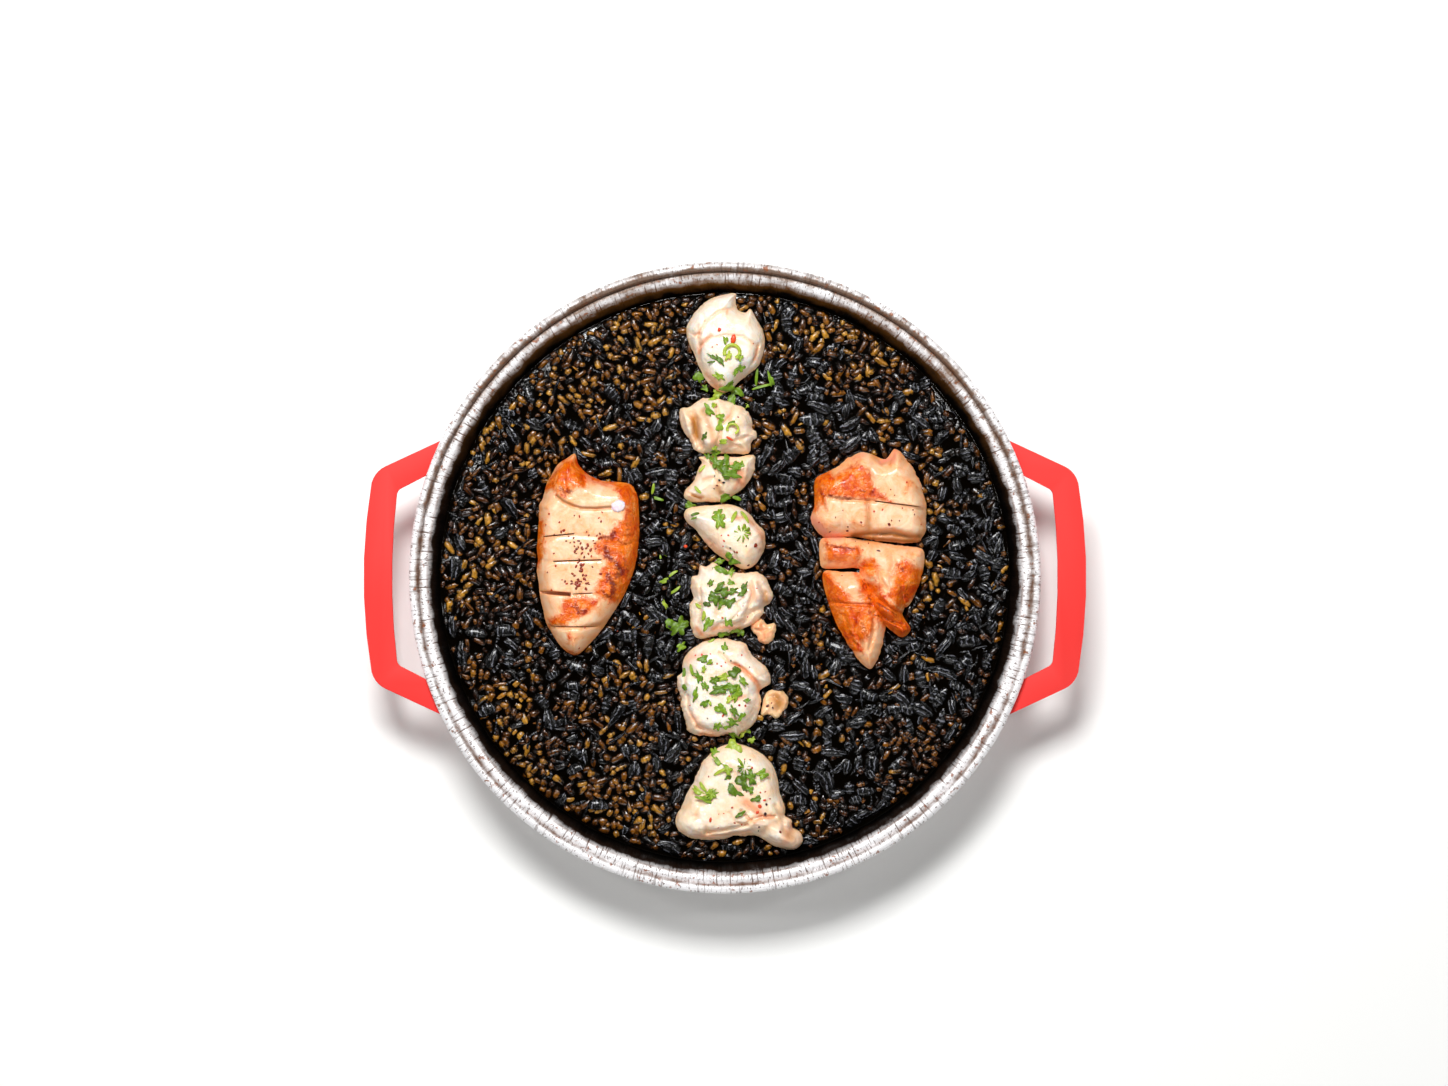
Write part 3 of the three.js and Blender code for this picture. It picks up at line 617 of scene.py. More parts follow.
CUTTLEFISH = [
    {
        "name": "cuttlefish_left", "height": 11,
        "outline": [
            (-28.6, 18), (-31, 30.5), (-41, 32.4), (-45.6, 34.4), (-49, 37.8), (-50.2, 41.2),
            (-52.6, 40), (-56, 37.6), (-60.8, 28), (-62.6, 14), (-62.6, 0), (-60, -14),
            (-54.5, -23.5), (-50, -26), (-45.5, -22.5), (-35.5, -9), (-30, 4),
        ],
        "folds": [([(-36, 22), (-34, 8), (-40, -8)], 1.2)],
        "cuts": [((-60.5, 13.6), (-50, 14.6), 3.5, 0.5), ((-57, 5.4), (-41, 5.9), 3.5, 0.5),
                 ((-63, -4.8), (-51.2, -5.6), 6, 1.5), ((-50.6, -5.5), (-44, -5.2), 3, 0.35),
                 ((-59, -16.4), (-42, -16.4), 3.5, 0.4)],
    },
    {
        "name": "cuttlefish_right_upper", "height": 10,
        "outline": [
            (67.4, 18), (66, 30), (61, 39), (57, 43), (53.6, 39.6), (46, 42), (36, 36), (30.4, 33),
            (30, 24), (28.8, 19.4), (32, 14), (43, 13.6), (56, 11.8), (65.5, 12.4),
        ],
        "folds": [([(49, 39), (48, 26), (48, 15)], 1)],
        "cuts": [((50, 25.4), (70, 22.9), 3.5, 0.5)],
    },
    {
        "name": "cuttlefish_right_middle", "height": 9,
        "outline": [
            (66.8, 6), (66, 9.4), (58, 10.8), (47, 12.4), (32.4, 12.9), (31.6, 8), (32.2, 3.4),
            (38, 2.9), (45.4, 2.7), (54, -6), (60.5, -10), (64, -5),
        ],
        "folds": [([(47, 11), (48, 4)], 1)],
        "cuts": [],
    },
    {
        "name": "cuttlefish_right_lower", "height": 9.5,
        "outline": [
            (54.2, -12), (51, -4), (47, 0.9), (43.4, 2), (38, 2), (33, 1.8), (34.8, -9),
            (39, -18.5), (44, -26.5), (48.8, -30.6), (51.6, -26), (53.6, -18),
        ],
        "folds": [([(42, -10), (45, -17), (48, -24)], 1)],
        "cuts": [],
    },
    {
        "name": "cuttlefish_right_flap", "height": 11.5,
        "outline": [
            (63, -2), (57, 3.4), (50.6, 5.2), (45.4, 3.2), (45.8, -1.6), (48.2, -5), (48.4, -10.4),
            (54, -16.4), (59.4, -20), (62, -17.4), (59.4, -12),
        ],
        "folds": [],
        "cuts": [],
    },
]

# %% [markdown]
# Each outline becomes a smooth closed curve with evenly spaced points. A centripetal curve passes
# through its points without loops, also where they lie close together.

# %% Smooth outlines
def smooth_outline(outline, count):
    """Evenly spaced points, in millimetres, on a smooth closed curve through an outline's points."""
    corners = np.array(outline, dtype=float)
    steps = np.linspace(0, 1, 24, endpoint=False)[:, None]
    curve = []
    for i in range(len(corners)):
        p0, p1, p2, p3 = (corners[(i + k - 1) % len(corners)] for k in range(4))
        d0, d1, d2 = (max(math.dist(a, b) ** 0.5, 1e-4) for a, b in ((p0, p1), (p1, p2), (p2, p3)))
        m1 = ((p1 - p0) / d0 - (p2 - p0) / (d0 + d1) + (p2 - p1) / d1) * d1
        m2 = ((p2 - p1) / d1 - (p3 - p1) / (d1 + d2) + (p3 - p2) / d2) * d1
        c2 = -3 * p1 + 3 * p2 - 2 * m1 - m2
        c3 = 2 * p1 - 2 * p2 + m1 + m2
        curve.append(p1 + m1 * steps + c2 * steps**2 + c3 * steps**3)
    curve = np.vstack(curve + [curve[0][:1]])
    run = np.concatenate([[0], np.cumsum(np.hypot(*np.diff(curve, axis=0).T))])
    even = np.linspace(0, run[-1], count, endpoint=False)
    return np.column_stack([np.interp(even, run, curve[:, k]) for k in (0, 1)])


def path_distance(xy, path):
    """Distance of each place from a line through the path's points."""
    nearest = np.full(len(xy), np.inf)
    for a, b in zip(path, path[1:]):
        a, b = np.array(a, dtype=float), np.array(b, dtype=float)
        along = np.clip(((xy - a) @ (b - a)) / ((b - a) @ (b - a)), 0, 1)
        nearest = np.minimum(nearest, np.hypot(*(xy - a - along[:, None] * (b - a)).T))
    return nearest


def depth_inside(xy, loop):
    """How far each place lies inside a closed outline, and less than 0 outside it."""
    inside = np.zeros(len(xy), dtype=bool)
    closed = list(loop) + [loop[0]]
    for (ax, ay), (bx, by) in zip(closed, closed[1:]):
        if ay == by:
            continue
        crosses = (ay > xy[:, 1]) != (by > xy[:, 1])
        inside ^= crosses & (xy[:, 0] < (bx - ax) * (xy[:, 1] - ay) / (by - ay) + ax)
    return np.where(inside, 1, -1) * path_distance(xy, closed)


topping_loops = [smooth_outline(topping["outline"], 60).tolist() for topping in FISH + CUTTLEFISH]
print("toppings:", len(topping_loops))

# %% [markdown]
# A topping is a dome over its outline: a half section, turned round its axis, whose columns are
# then pulled out to the outline's points. The height follows the distance from the edge, so the
# edge is evenly rounded everywhere, as steamed fish swells under its skin. Creases, flakes and
# cut edges are pressed in along short lists of lines: each has a path, a width and a depth in
# millimetres, and a depth below zero raises a ridge.

# %% Dome over an outline
EDGE_ROUND_MM = 7.0


def dome_section(rings):
    """(reach, height) from the middle of the underside, round the edge, to the top."""
    section = [(0, 0, 0), (0.5, 0, 0), (0.84, 0, 0), (0.93, 0.08, 0), (0.98, 0.2, 0)]
    for k in range(rings + 1):
        section.append((1 - (k / rings) ** 1.5, 1, 0))
    return section


def crease_sum(xy, creases):
    total = np.zeros(len(xy))
    for path, width, depth in creases:
        total += depth * np.exp(-((path_distance(xy, path) / width) ** 2))
    return total


def topping_mesh(topping, sides, rings, ragged, lumpy, seed):
    """The dome with its creases pressed in, over a frayed outline."""
    loop = smooth_outline(topping["outline"], sides)
    middle = loop.mean(axis=0)
    outward = loop - middle
    rim = np.column_stack([loop, np.zeros(sides)])
    fray = (
        1.2 * field(rim, 4.2, seed) + 0.5 * field(rim, 1.9, seed + 4)
        + 0.5 * field(rim, 0.8, seed + 3)
    )
    fray *= smooth_step(field(rim, 9.0, seed + 6), -0.45, 0.3)
    outward *= (1 + ragged * fray / np.hypot(*outward.T))[:, None]
    mesh = mesh_from(spun(dome_section(rings), sides), topping["name"] + "_flesh")
    unit = points_of(mesh)
    reach = np.hypot(unit[:, 0], unit[:, 1])
    column = np.round(np.arctan2(unit[:, 1], unit[:, 0]) / (2 * math.pi) * sides).astype(int) % sides
    xy = middle + outward[column] * reach[:, None]
    edge = (middle + outward).tolist()
    inside = np.clip(depth_inside(xy, edge) / min(EDGE_ROUND_MM, 0.8 * topping["height"]), 0, 1)
    on_top = unit[:, 2] > 0.5
    rise = np.where(on_top, 0.34 + 0.66 * (1 - (1 - inside) ** 2.2), unit[:, 2] * 1.0)
    creased = crease_sum(xy, topping.get("creases", []))
    wide = np.column_stack([xy, np.full(len(xy), 3.0)])
    swell = lumpy * (field(wide, 6.0, seed + 1) + 0.45 * field(wide, 2.6, seed + 2))
    soft_edge = smooth_step(inside, 0, 0.5)
    z = BED_MM + topping["height"] * rise + np.where(on_top, (swell - creased) * soft_edge, 0)
    z -= np.where(on_top, 0.35 * creased * (1 - soft_edge), 0)
    highest = BED_MM + topping["height"]
    z = np.where(z > highest - 0.4, highest - 0.4 + 0.4 * np.tanh((z - highest + 0.4) / 0.8), z)
    set_points(mesh, np.column_stack([xy, np.maximum(z, BED_MM)]) * MM)
    return mesh


def cut_with_blades(mesh, cuts):
    """Cuts thin slots down into a topping: each is (start, end, depth, width) in millimetres."""
    bm = bmesh.new()
    for start, end, depth, width in cuts:
        top, bottom = BED_MM + 13, BED_MM + 10 - depth
        middle = Vector(((start[0] + end[0]) / 2, (start[1] + end[1]) / 2, (top + bottom) / 2))
        turn = Matrix.Rotation(math.atan2(end[1] - start[1], end[0] - start[0]), 4, "Z")
        size = Matrix.Diagonal((math.dist(start, end) * MM, width * MM * 1.4, (top - bottom) * MM, 1))
        made = bmesh.ops.create_cube(bm, size=1)["verts"]
        bmesh.ops.scale(bm, vec=(1, 0.35, 1), verts=[v for v in made if v.co.z < 0])
        bmesh.ops.transform(bm, verts=made, matrix=Matrix.Translation(middle * MM) @ turn @ size)
    body = bpy.data.objects.new("being_cut", mesh)
    blades = bpy.data.objects.new("blades", mesh_from(bm, "blades"))
    for one in (body, blades):
        bpy.context.scene.collection.objects.link(one)
    cut = body.modifiers.new("cut", "BOOLEAN")
    cut.operation = "DIFFERENCE"
    cut.solver = "EXACT"
    cut.object = blades
    result = bpy.data.meshes.new_from_object(body.evaluated_get(bpy.context.evaluated_depsgraph_get()))
    name, blade_mesh = mesh.name, blades.data
    for one in (body, blades):
        bpy.data.objects.remove(one)
    for old in (mesh, blade_mesh):
        bpy.data.meshes.remove(old)
    result.name = name
    return result


def zone(xy, polygon, soft):
    """1 inside a polygon and 0 outside it, with a soft border in millimetres."""
    return smooth_step(depth_inside(xy, polygon), -soft, soft)


# %% [markdown]
# Creases of the fish. Steamed white fish parts in broad flakes: each flake is a smooth swelling
# and the seams between them are thin. Some seams are open folds with a dark hollow.

# %% Creases of the fish
FISH_CREASES = {
    "fish_1": [
        ([(-8.5, 73), (-8.8, 80), (-6.5, 85), (-2, 88.5), (2.5, 89.5)], 0.7, 1.1),
        ([(-8.2, 77), (-5, 79.6), (0, 80.6), (6, 80.2), (11, 77)], 0.55, 0.9),
        ([(-12.8, 82.5), (-10, 80.6), (-8.6, 81)], 0.5, 0.8),
        ([(-7.4, 88), (-6.4, 85)], 0.5, 0.5),
        ([(11.4, 78), (10.4, 74), (9, 71)], 0.6, 0.8),
        ([(-9.2, 73.5), (-7, 68), (-3.5, 64), (0, 62)], 0.7, 1.2),
        ([(-4, 84.3), (-2.5, 83.2), (-1, 83.8)], 0.4, 0.25),
        ([(2.8, 93), (3.4, 90.4), (6, 88.4)], 0.6, 0.5),
    ],
    "fish_2": [
        ([(-11.2, 55), (-9.6, 52), (-9.6, 48), (-8.4, 44)], 1.3, 3.4),
        ([(-13.6, 54.5), (-12.6, 50), (-10.8, 46), (-9.6, 43)], 0.6, -0.8),
        ([(-6.5, 57.5), (-5.8, 54), (-5, 49), (-5.2, 44)], 1.2, -0.9),
        ([(-3, 58), (-2, 53), (-1.4, 48.4), (-2.6, 43.6)], 0.8, 1.4),
        ([(3, 57), (2.2, 54), (-0.5, 51.4)], 0.7, 1.2),
        ([(9.5, 48.4), (6, 46.2), (1.6, 45)], 0.8, 1.0),
        ([(-0.5, 42.6), (3, 44), (6, 43)], 0.8, 0.9),
    ],
    "fish_3": [
        ([(-12.3, 28.4), (-9.6, 26.9), (-7.2, 26.7)], 0.5, 1.3),
        ([(-7.4, 32.4), (-4, 33.2), (-1.4, 31), (-1.2, 27.5)], 0.8, 1.0),
        ([(-4.5, 38), (-3, 36), (-1.5, 31.5)], 0.7, 1.1),
        ([(4, 40), (4.5, 36), (5.6, 32)], 1.0, 0.8),
        ([(7.2, 40.2), (7.4, 36), (6.6, 32)], 0.7, -0.6),
        ([(-1, 28), (2, 27)], 0.7, 0.8),
    ],
    "fish_4": [
        ([(-5.6, 23.4), (-6.2, 21.6), (-8, 20.8)], 0.5, 0.5),
        ([(1.2, 22.4), (3.4, 21), (5.4, 18.8)], 0.5, 0.35),
        ([(0.4, 9.8), (2.8, 8.6), (4.2, 5)], 0.5, 0.5),
        ([(8.4, 17.6), (11.8, 14), (12.6, 10)], 1.0, -0.6),
        ([(-9, 15.5), (-4, 10.6)], 1.1, 0.7),
    ],
    "fish_5": [
        ([(-7.4, 1), (-8.4, -3), (-7.8, -9)], 0.5, 0.5),
        ([(8.6, -1.6), (9.4, -5), (8.2, -9), (7, -12.4)], 0.8, 1.3),
        ([(11.4, -2), (13.2, -5.4), (13.4, -8.4)], 1.1, 1.6),
        ([(2.6, -13.6), (5, -11), (4, -8.6), (6.4, -6.4)], 0.6, 0.8),
        ([(-8.8, -15), (-7.8, -12), (-8.6, -9.4)], 0.8, 1.1),
        ([(-4, -17.6), (-1.4, -15.4), (2.6, -15.8), (6, -15)], 0.9, 1.1),
        ([(2.8, 0.6), (1.2, -3.4), (-1, -8), (-2.6, -12)], 1.4, 0.9),
        ([(3.4, 0.8), (6.4, 1)], 0.8, 0.9),
        ([(-10.4, -10), (-8.4, -8.6)], 0.6, 0.9),
        ([(7, -14.6), (9, -11.4), (12.4, -10.6)], 1.0, 2.0),
    ],
    "fish_5_sliver": [
        ([(10, -17.6), (12.4, -18), (15.4, -17)], 0.6, 0.7),
        ([(12.6, -16), (13, -20.6)], 0.5, 0.6),
    ],
    "fish_6": [
        ([(-1.8, -25), (1.6, -28.4), (6, -30.4), (10, -34.4), (12.4, -37.6)], 0.7, 1.3),
        ([(4.4, -24.4), (8.4, -27.6), (12, -32), (14, -35.6)], 2.2, -0.7),
        ([(-13.8, -31), (-13.2, -36), (-14.4, -40)], 0.6, 0.9),
        ([(-12.6, -39.6), (-12.4, -44), (-9, -49.6), (-3.4, -51.6)], 0.6, 0.9),
        ([(10.6, -41), (10.2, -45), (7.4, -50)], 1.4, 0.8),
        ([(2.6, -46), (6, -49.6), (4.6, -52.6)], 0.7, 0.7),
        ([(-9, -50), (-6, -51.4), (-2, -52)], 0.8, 1.2),
    ],
    "fish_6_flap": [
        ([(16.6, -40), (18.4, -41.6), (18, -44)], 1.6, 2.2),
        ([(14.6, -39.8), (14.8, -45)], 0.6, 0.6),
    ],
    "fish_7": [
        ([(-9.6, -79.4), (-6.4, -81.8), (-5.6, -85.6)], 0.8, 0.7),
        ([(-6, -85), (-0.4, -84.2), (6, -82.8), (8.4, -81)], 0.7, 1.3),
        ([(-4.6, -86.2), (1.4, -86), (8.4, -84.6)], 0.5, 0.6),
        ([(1.6, -78), (3.4, -81.4), (7.4, -82.4)], 0.6, 0.9),
        ([(5.4, -77.6), (8.4, -80.6), (12.6, -79.4), (16.6, -79.6)], 0.6, 1.3),
        ([(17, -76), (19.4, -79.6), (19.6, -84)], 0.9, 1.3),
        ([(12.6, -85.6), (15, -82.4), (17.4, -81.8)], 1.2, 1.0),
        ([(3, -64), (6, -69), (4.6, -74), (9.4, -78)], 1.0, 0.7),
        ([(-11, -71), (-8, -76), (-10, -80)], 1.2, 0.5),
    ],
}

# %% Places of painted shade on the fish: pink in folds and low places, ochre in hollows
PINK_SHADE_PLACES = [
    ([(-8.6, 75), (-7.4, 78.6), (-4.6, 80.6)], 0.7, 0.8), ([(-3.5, 64), (-0.5, 62.6)], 1.2, 0.8),
    ([(-10, 81), (-8.8, 80), (-8.6, 84)], 0.6, 0.6), ([(-6, 68), (-3, 64.6)], 0.9, 0.6),
    ([(11, 76.6), (9.8, 72.6)], 0.6, 0.7), ([(0.8, 89), (0.6, 87.6)], 0.4, 0.7),
    ([(-4.6, 49), (-3.8, 44.4)], 1.0, 0.6), ([(0.6, 55), (2.2, 51.6)], 0.9, 0.5),
    ([(2.4, 37.4), (5.4, 35), (5.8, 31.6)], 1.4, 0.9), ([(5.2, 33.4), (3.4, 30)], 0.9, 0.7),
    ([(3, 19.6), (7, 20.2), (9.6, 17.6)], 0.8, 0.8), ([(10.6, 16.6), (12.4, 13.4)], 0.9, 0.7),
    ([(-6, 12), (0, 7.6), (4, 5)], 1.4, 0.6), ([(9, -3.6), (10.2, -7)], 1.2, 0.6),
    ([(-9.4, -17), (-7.6, -19)], 0.9, 0.9), ([(-4, -17.2), (0, -16.6), (5, -17)], 0.9, 0.8),
    ([(11, -16.4), (14, -18.6), (12, -21)], 2.2, 0.8), ([(12.2, -17)], 0.7, 1.0),
    ([(3.4, -28.6), (7.4, -31.4), (10.6, -35), (11.6, -38)], 0.9, 1.0),
    ([(-12, -27), (-7, -25.6)], 1.2, 0.5), ([(2.6, -41), (6.6, -39.4)], 0.7, 0.8),
    ([(-11.6, -46), (-8, -50)], 1.4, 0.5), ([(-8, -52.4), (-4, -53)], 1.2, 1.0),
    ([(7, -74.6), (10, -76.6), (12.4, -79.6)], 1.6, 0.9), ([(4, -70), (6.6, -74)], 0.9, 0.6),
    ([(-9.4, -86), (-4, -86.4), (8, -85)], 1.0, 0.5), ([(22.6, -83), (20, -88)], 1.6, 0.6),
    ([(9.8, -81.4), (12, -80), (16, -79.8)], 0.6, 0.9),
]
OCHRE_SHADE_PLACES = [
    ([(-10.4, 53), (-9.4, 47)], 1.3, 1.0), ([(-7, 55.6), (-5, 50)], 1.2, 0.6),
    ([(-11, 27.4), (-8, 26.4)], 0.6, 1.0), ([(-3, 30.4), (-1.4, 28)], 1.0, 0.5),
    ([(13.6, -5), (14, -8)], 1.1, 0.8), ([(17.4, -40.4), (18.4, -42.4)], 2.0, 0.9),
    ([(20, -84.6), (22.4, -87)], 1.6, 0.6), ([(11.6, 9.6), (13, 12.6)], 1.4, 0.5),
    ([(0.6, 83.6)], 4.0, 0.12),
]


def paint_places(mesh, name, places):
    xy = points_of(mesh)[:, :2] / MM
    value = np.zeros(len(xy))
    for path, width, strength in places:
        path = path * 2 if len(path) == 1 else path
        path = [path[0], (path[1][0] + 1e-3, path[1][1])] if path[0] == path[1] else path
        value = np.maximum(value, strength * np.exp(-((path_distance(xy, path) / width) ** 2)))
    paint(mesh, name, value)


# %% [markdown]
# Steamed fish is white, wet and a little translucent: light enters the flesh and comes out again
# beside the place where it went in, warmer than before. Subsurface scattering gives exactly that,
# and it is what keeps the flesh from looking like plaster. Seams and edges get a painted peach
# shade, some folds and low places a painted pink shade, and a few hollows a painted ochre shade.

# %% Fish material
fish, fish_shader = new_material("steamed_white_fish")
fish_place = add(fish, "TexCoord")
FLAKE_MM = 5
fish_cloud = add(
    fish, "TexNoise",
    {"Vector": fish_place, "Scale": 1 / (FLAKE_MM * MM), "Detail": 4.0, "Roughness": 0.6},
)
FIBRE_OF_FISH_MM = 1.5
fish_fibre = add(
    fish, "TexNoise", {"Vector": fish_place, "Scale": 1 / (FIBRE_OF_FISH_MM * MM), "Detail": 2.0}
)
fish_cloud_range = add(fish, "MapRange", {"Value": fish_cloud, "From Min": 0.35, "From Max": 0.7})
fish_warmth = add(fish, "Attribute", attribute_name="warmth")
fish_warm_sum = add(
    fish, "Math", {0: fish_cloud_range, 1: 0.6, 2: fish_warmth},
    operation="MULTIPLY_ADD", use_clamp=True,
)
fish_base = add(
    fish, "Mix", {0: fish_warm_sum, MIX_A: "#fffaf2", MIX_B: "#ffd2a2"}, data_type="RGBA"
)
# Painted shade: peach in the seams and along the edges, pink in folds, ochre in hollows.
fish_crease_shade = add(fish, "Attribute", attribute_name="crease")
fish_pink_shade = add(fish, "Attribute", attribute_name="pink")
fish_ochre_shade = add(fish, "Attribute", attribute_name="ochre_shade")
fish_crease_shaded = add(
    fish, "Mix", {0: fish_crease_shade, MIX_A: fish_base, MIX_B: "#efbd8a"}, data_type="RGBA"
)
fish_pink_shaded = add(
    fish, "Mix", {0: fish_pink_shade, MIX_A: fish_crease_shaded, MIX_B: "#f3a678"}, data_type="RGBA"
)
fish_colour = add(
    fish, "Mix", {0: fish_ochre_shade, MIX_A: fish_pink_shaded, MIX_B: "#b97b34"}, data_type="RGBA"
)
fish_bump = add(fish, "Bump", {"Height": fish_fibre, "Strength": 0.7, "Distance": 0.5 * MM})
wire(fish, fish_colour, fish_shader.inputs["Base Color"])
wire(fish, fish_bump, fish_shader.inputs["Normal"])
fish_shader.inputs["Roughness"].default_value = 0.22
fish_shader.inputs["Subsurface Weight"].default_value = 0.45
fish_shader.inputs["Subsurface Radius"].default_value = (1.0, 0.55, 0.35)
fish_shader.inputs["Subsurface Scale"].default_value = 2.4 * MM

WARMTH = {
    "fish_1": 0.05, "fish_2": 0.28, "fish_3": 0.28, "fish_4": 0.25, "fish_5": 0.1, "fish_5_sliver": 0.8,
    "fish_6": 0.12, "fish_6_flap": 0.7, "fish_7": 0.28,
}
flesh = {}
for number, topping in enumerate(FISH):
    topping["creases"] = FISH_CREASES.get(topping["name"], [])
    small = topping["height"] < 7
    mesh = topping_mesh(
        topping, sides=120 if small else 220, rings=34 if small else 64,
        ragged={0: 0.35, 3: 0.3}.get(number, 0.6), lumpy={0: 0.45, 3: 0.4, 4: 1.5}.get(number, 1.0),
        seed=20 + number,
    )
    xy = points_of(mesh)[:, :2] / MM
    edge = depth_inside(xy, smooth_outline(topping["outline"], 120).tolist())
    # Painted peach shade in the seams and along the edge, kept in the attribute called crease.
    seam_shade = np.clip(crease_sum(xy, [c for c in topping["creases"] if c[2] > 0]), 0, 1) * 0.5
    paint(mesh, "crease", np.maximum(seam_shade, 0.8 * np.exp(-np.maximum(edge, 0) / 0.9)))
    paint(mesh, "warmth", np.full(len(xy), WARMTH[topping["name"]]))
    # Painted pink shade in folds and low places, and painted ochre shade in hollows.
    paint_places(mesh, "pink", PINK_SHADE_PLACES)
    paint_places(mesh, "ochre_shade", OCHRE_SHADE_PLACES)
    flesh[topping["name"]] = piece(mesh, fish, [topping["name"]])

# %% [markdown]
# The cuttlefish is seared: a cook scores the body, so it opens in bands as it shrinks, and the
# griddle browns what touches it. The zones of colour are polygons in millimetres, with frayed
# borders: toast for orange, char for the dark caramel spots. Round them and along every edge the
# ivory warms to peach, where the oil has crept: that is the glow.

# %% Zones of the cuttlefish
TOAST_ZONES = [
    [(45.2, 3), (45.6, 6.4), (50, 6.8), (51.4, 4), (50, -0.6), (46.4, 0)],
    [(-48.4, 41), (-50.2, 40), (-54, 39.3), (-55.9, 36.7), (-58.7, 32.9), (-61.5, 29.6), (-59.9, 28.4),
     (-57.5, 29.2), (-55.4, 27.5), (-53, 26.3), (-51.6, 28.2), (-48.8, 29.2), (-45.9, 29.6),
     (-45.5, 31), (-46, 33.5), (-46, 36)],
    [(-45.6, 34), (-44, 31.6), (-38, 30.7), (-35.5, 28.2), (-35, 25.8), (-32.9, 23.5), (-33.6, 20.1),
     (-36.9, 16.8), (-37.4, 14.9), (-41.2, 13.5), (-43.1, 10.7), (-42.6, 8.8), (-40.3, 6.9),
     (-39.8, 4.5), (-41.2, 2.1), (-42.1, -0.2), (-42.6, -3.5), (-43.6, -5.4), (-42.1, -6.4),
     (-38.4, -8.3), (-33, -9), (-28, 0), (-26, 12), (-27, 30), (-32, 34), (-40, 34)],
    [(-53.5, -6.9), (-51.2, -6.4), (-46.4, -6.4), (-42.1, -7.8), (-43.1, -10.7), (-46.9, -12.6),
     (-48.8, -14), (-53, -15.9), (-59, -16.8), (-58.7, -14.5), (-56.8, -13), (-54, -12.1), (-54, -9.2)],
    [(-64, 19.2), (-60.2, 19.7), (-59.9, 15.4), (-60.2, 10.7), (-59.4, 7.8), (-60.6, 5.9), (-62.5, 3.6),
     (-65, 4.5)],
    [(-54.5, -23.4), (-51, -24.8), (-46.6, -24.2), (-45, -27), (-54, -27)],
    [(-52.6, -18.6), (-51.2, -18.4), (-51.4, -21.6), (-52.4, -21.4)],
    [(28, 34.2), (32.6, 37), (35.2, 35.6), (36, 33.7), (38.3, 35.5), (41.9, 37), (44.5, 37.7),
     (47.1, 36.3), (48.7, 33.7), (49.2, 31.1), (51.2, 28.5), (53.8, 26.4), (56.5, 24.6), (49.7, 26.2),
     (45.6, 26.4), (37.8, 26.7), (33.6, 27), (34.2, 22.3), (31.6, 24.4), (30.6, 20.3), (28, 24.4)],
    [(33.4, 12.9), (35.2, 10.9), (44.5, 9.9), (45.6, 8.4), (44.5, 5.8), (43, 4.2), (35.2, 5.3),
     (33.4, 6.3)],
    [(56.9, 4.7), (59, 6.2), (61.1, 5.8), (63.1, 3.8), (67.5, 2.9), (67.4, 0), (63.5, -6), (60, -11),
     (55.9, -9.7), (53.8, -5.6), (55.4, -2), (55.9, 1.6)],
    [(31, 1.8), (35, 2.2), (36.8, -0.9), (40.4, -4.6), (43, -8.2), (48.1, -8.7), (49.7, -12.3),
     (49.7, -17.5), (47.6, -20.6), (44.5, -21.6), (46.2, -24.6), (43.5, -25.5), (39.5, -21.6),
     (36, -17), (33, -11.3), (32, -2)],
    [(43.5, 1.2), (52, -3), (50, -12), (46, -9.5)],
    [(46, -11), (50, -3.4), (56, -8), (64, -16), (63, -21), (58, -20.6)],
]
CHAR_PLACES = [
    ([(-37, 14.8), (-38, 13.4), (-41, 13.2)], 1.1, 0.8),
    ([(-39.6, 9.6), (-39, 7), (-37.6, 6.2)], 1.3, 1.0),
    ([(-35.4, 12.4), (-33, 11.2)], 0.9, 0.6), ([(-36, 4.6), (-34.6, 2.2), (-36, 0.4)], 1.4, 0.9),
    ([(-38.6, 0.8), (-37, -2.6), (-37.4, -5)], 1.2, 0.9), ([(-40.6, -4.6), (-38.4, -6.6)], 0.9, 0.7),
    ([(-33.6, 6.6), (-32.6, 3)], 0.9, 0.5), ([(-32.6, 17.6), (-32, 14)], 1.0, 0.5),
    ([(-54.6, 29.6), (-53.2, 28), (-51.4, 28.8)], 1.1, 0.8), ([(-57, 31), (-55.4, 33.4)], 0.8, 0.4),
    ([(-49.4, -9.4), (-48.2, -11.8), (-46.4, -11)], 1.4, 0.7),
    ([(-58.4, -15.6), (-57.4, -16.8)], 0.9, 0.6),
    ([(-61.8, 12), (-61, 8)], 0.8, 0.3), ([(-52, -25.4), (-48, -25.6)], 0.9, 0.6),
    ([(34.6, 27.2), (38, 26.6), (42, 26.2)], 0.7, 0.8), ([(45, 29), (49, 28)], 1.2, 0.4),
    ([(32.4, 29.6), (32.8, 27.4)], 1.0, 0.5), ([(33.6, 11), (38, 10.2), (43, 9.4)], 0.7, 0.7),
    ([(57.4, 4), (59.4, 2.6)], 1.3, 0.5), ([(58, -3), (60.4, -6)], 1.2, 0.3),
    ([(45.6, -15.6), (47, -19.6)], 1.4, 0.6), ([(37, -8), (42, -10)], 1.2, 0.4),
    ([(48.4, -6), (48, -12)], 1.0, 0.5), ([(50.6, -8.4), (57, -12.4)], 0.5, 0.7),
    ([(50, -12.4), (57, -15.4)], 0.5, 0.7), ([(46.4, -1.6), (48, -3.4)], 1.2, 0.4),
]
PINK_CUTTLEFISH = [
    ([(29, 19.6), (31.6, 17), (33.6, 14.4), (38, 13.6)], 1.6, 0.8),
    ([(52, 38.4), (55.6, 39.8)], 0.8, 0.9),
    ([(57, 42), (56, 39)], 1.0, 0.6), ([(46, 41), (43, 39.6)], 1.2, 0.4),
    ([(-46, 33), (-41, 31.4), (-37, 31)], 0.7, 0.7), ([(34, -8.4), (47, -9)], 0.5, 0.4),
]
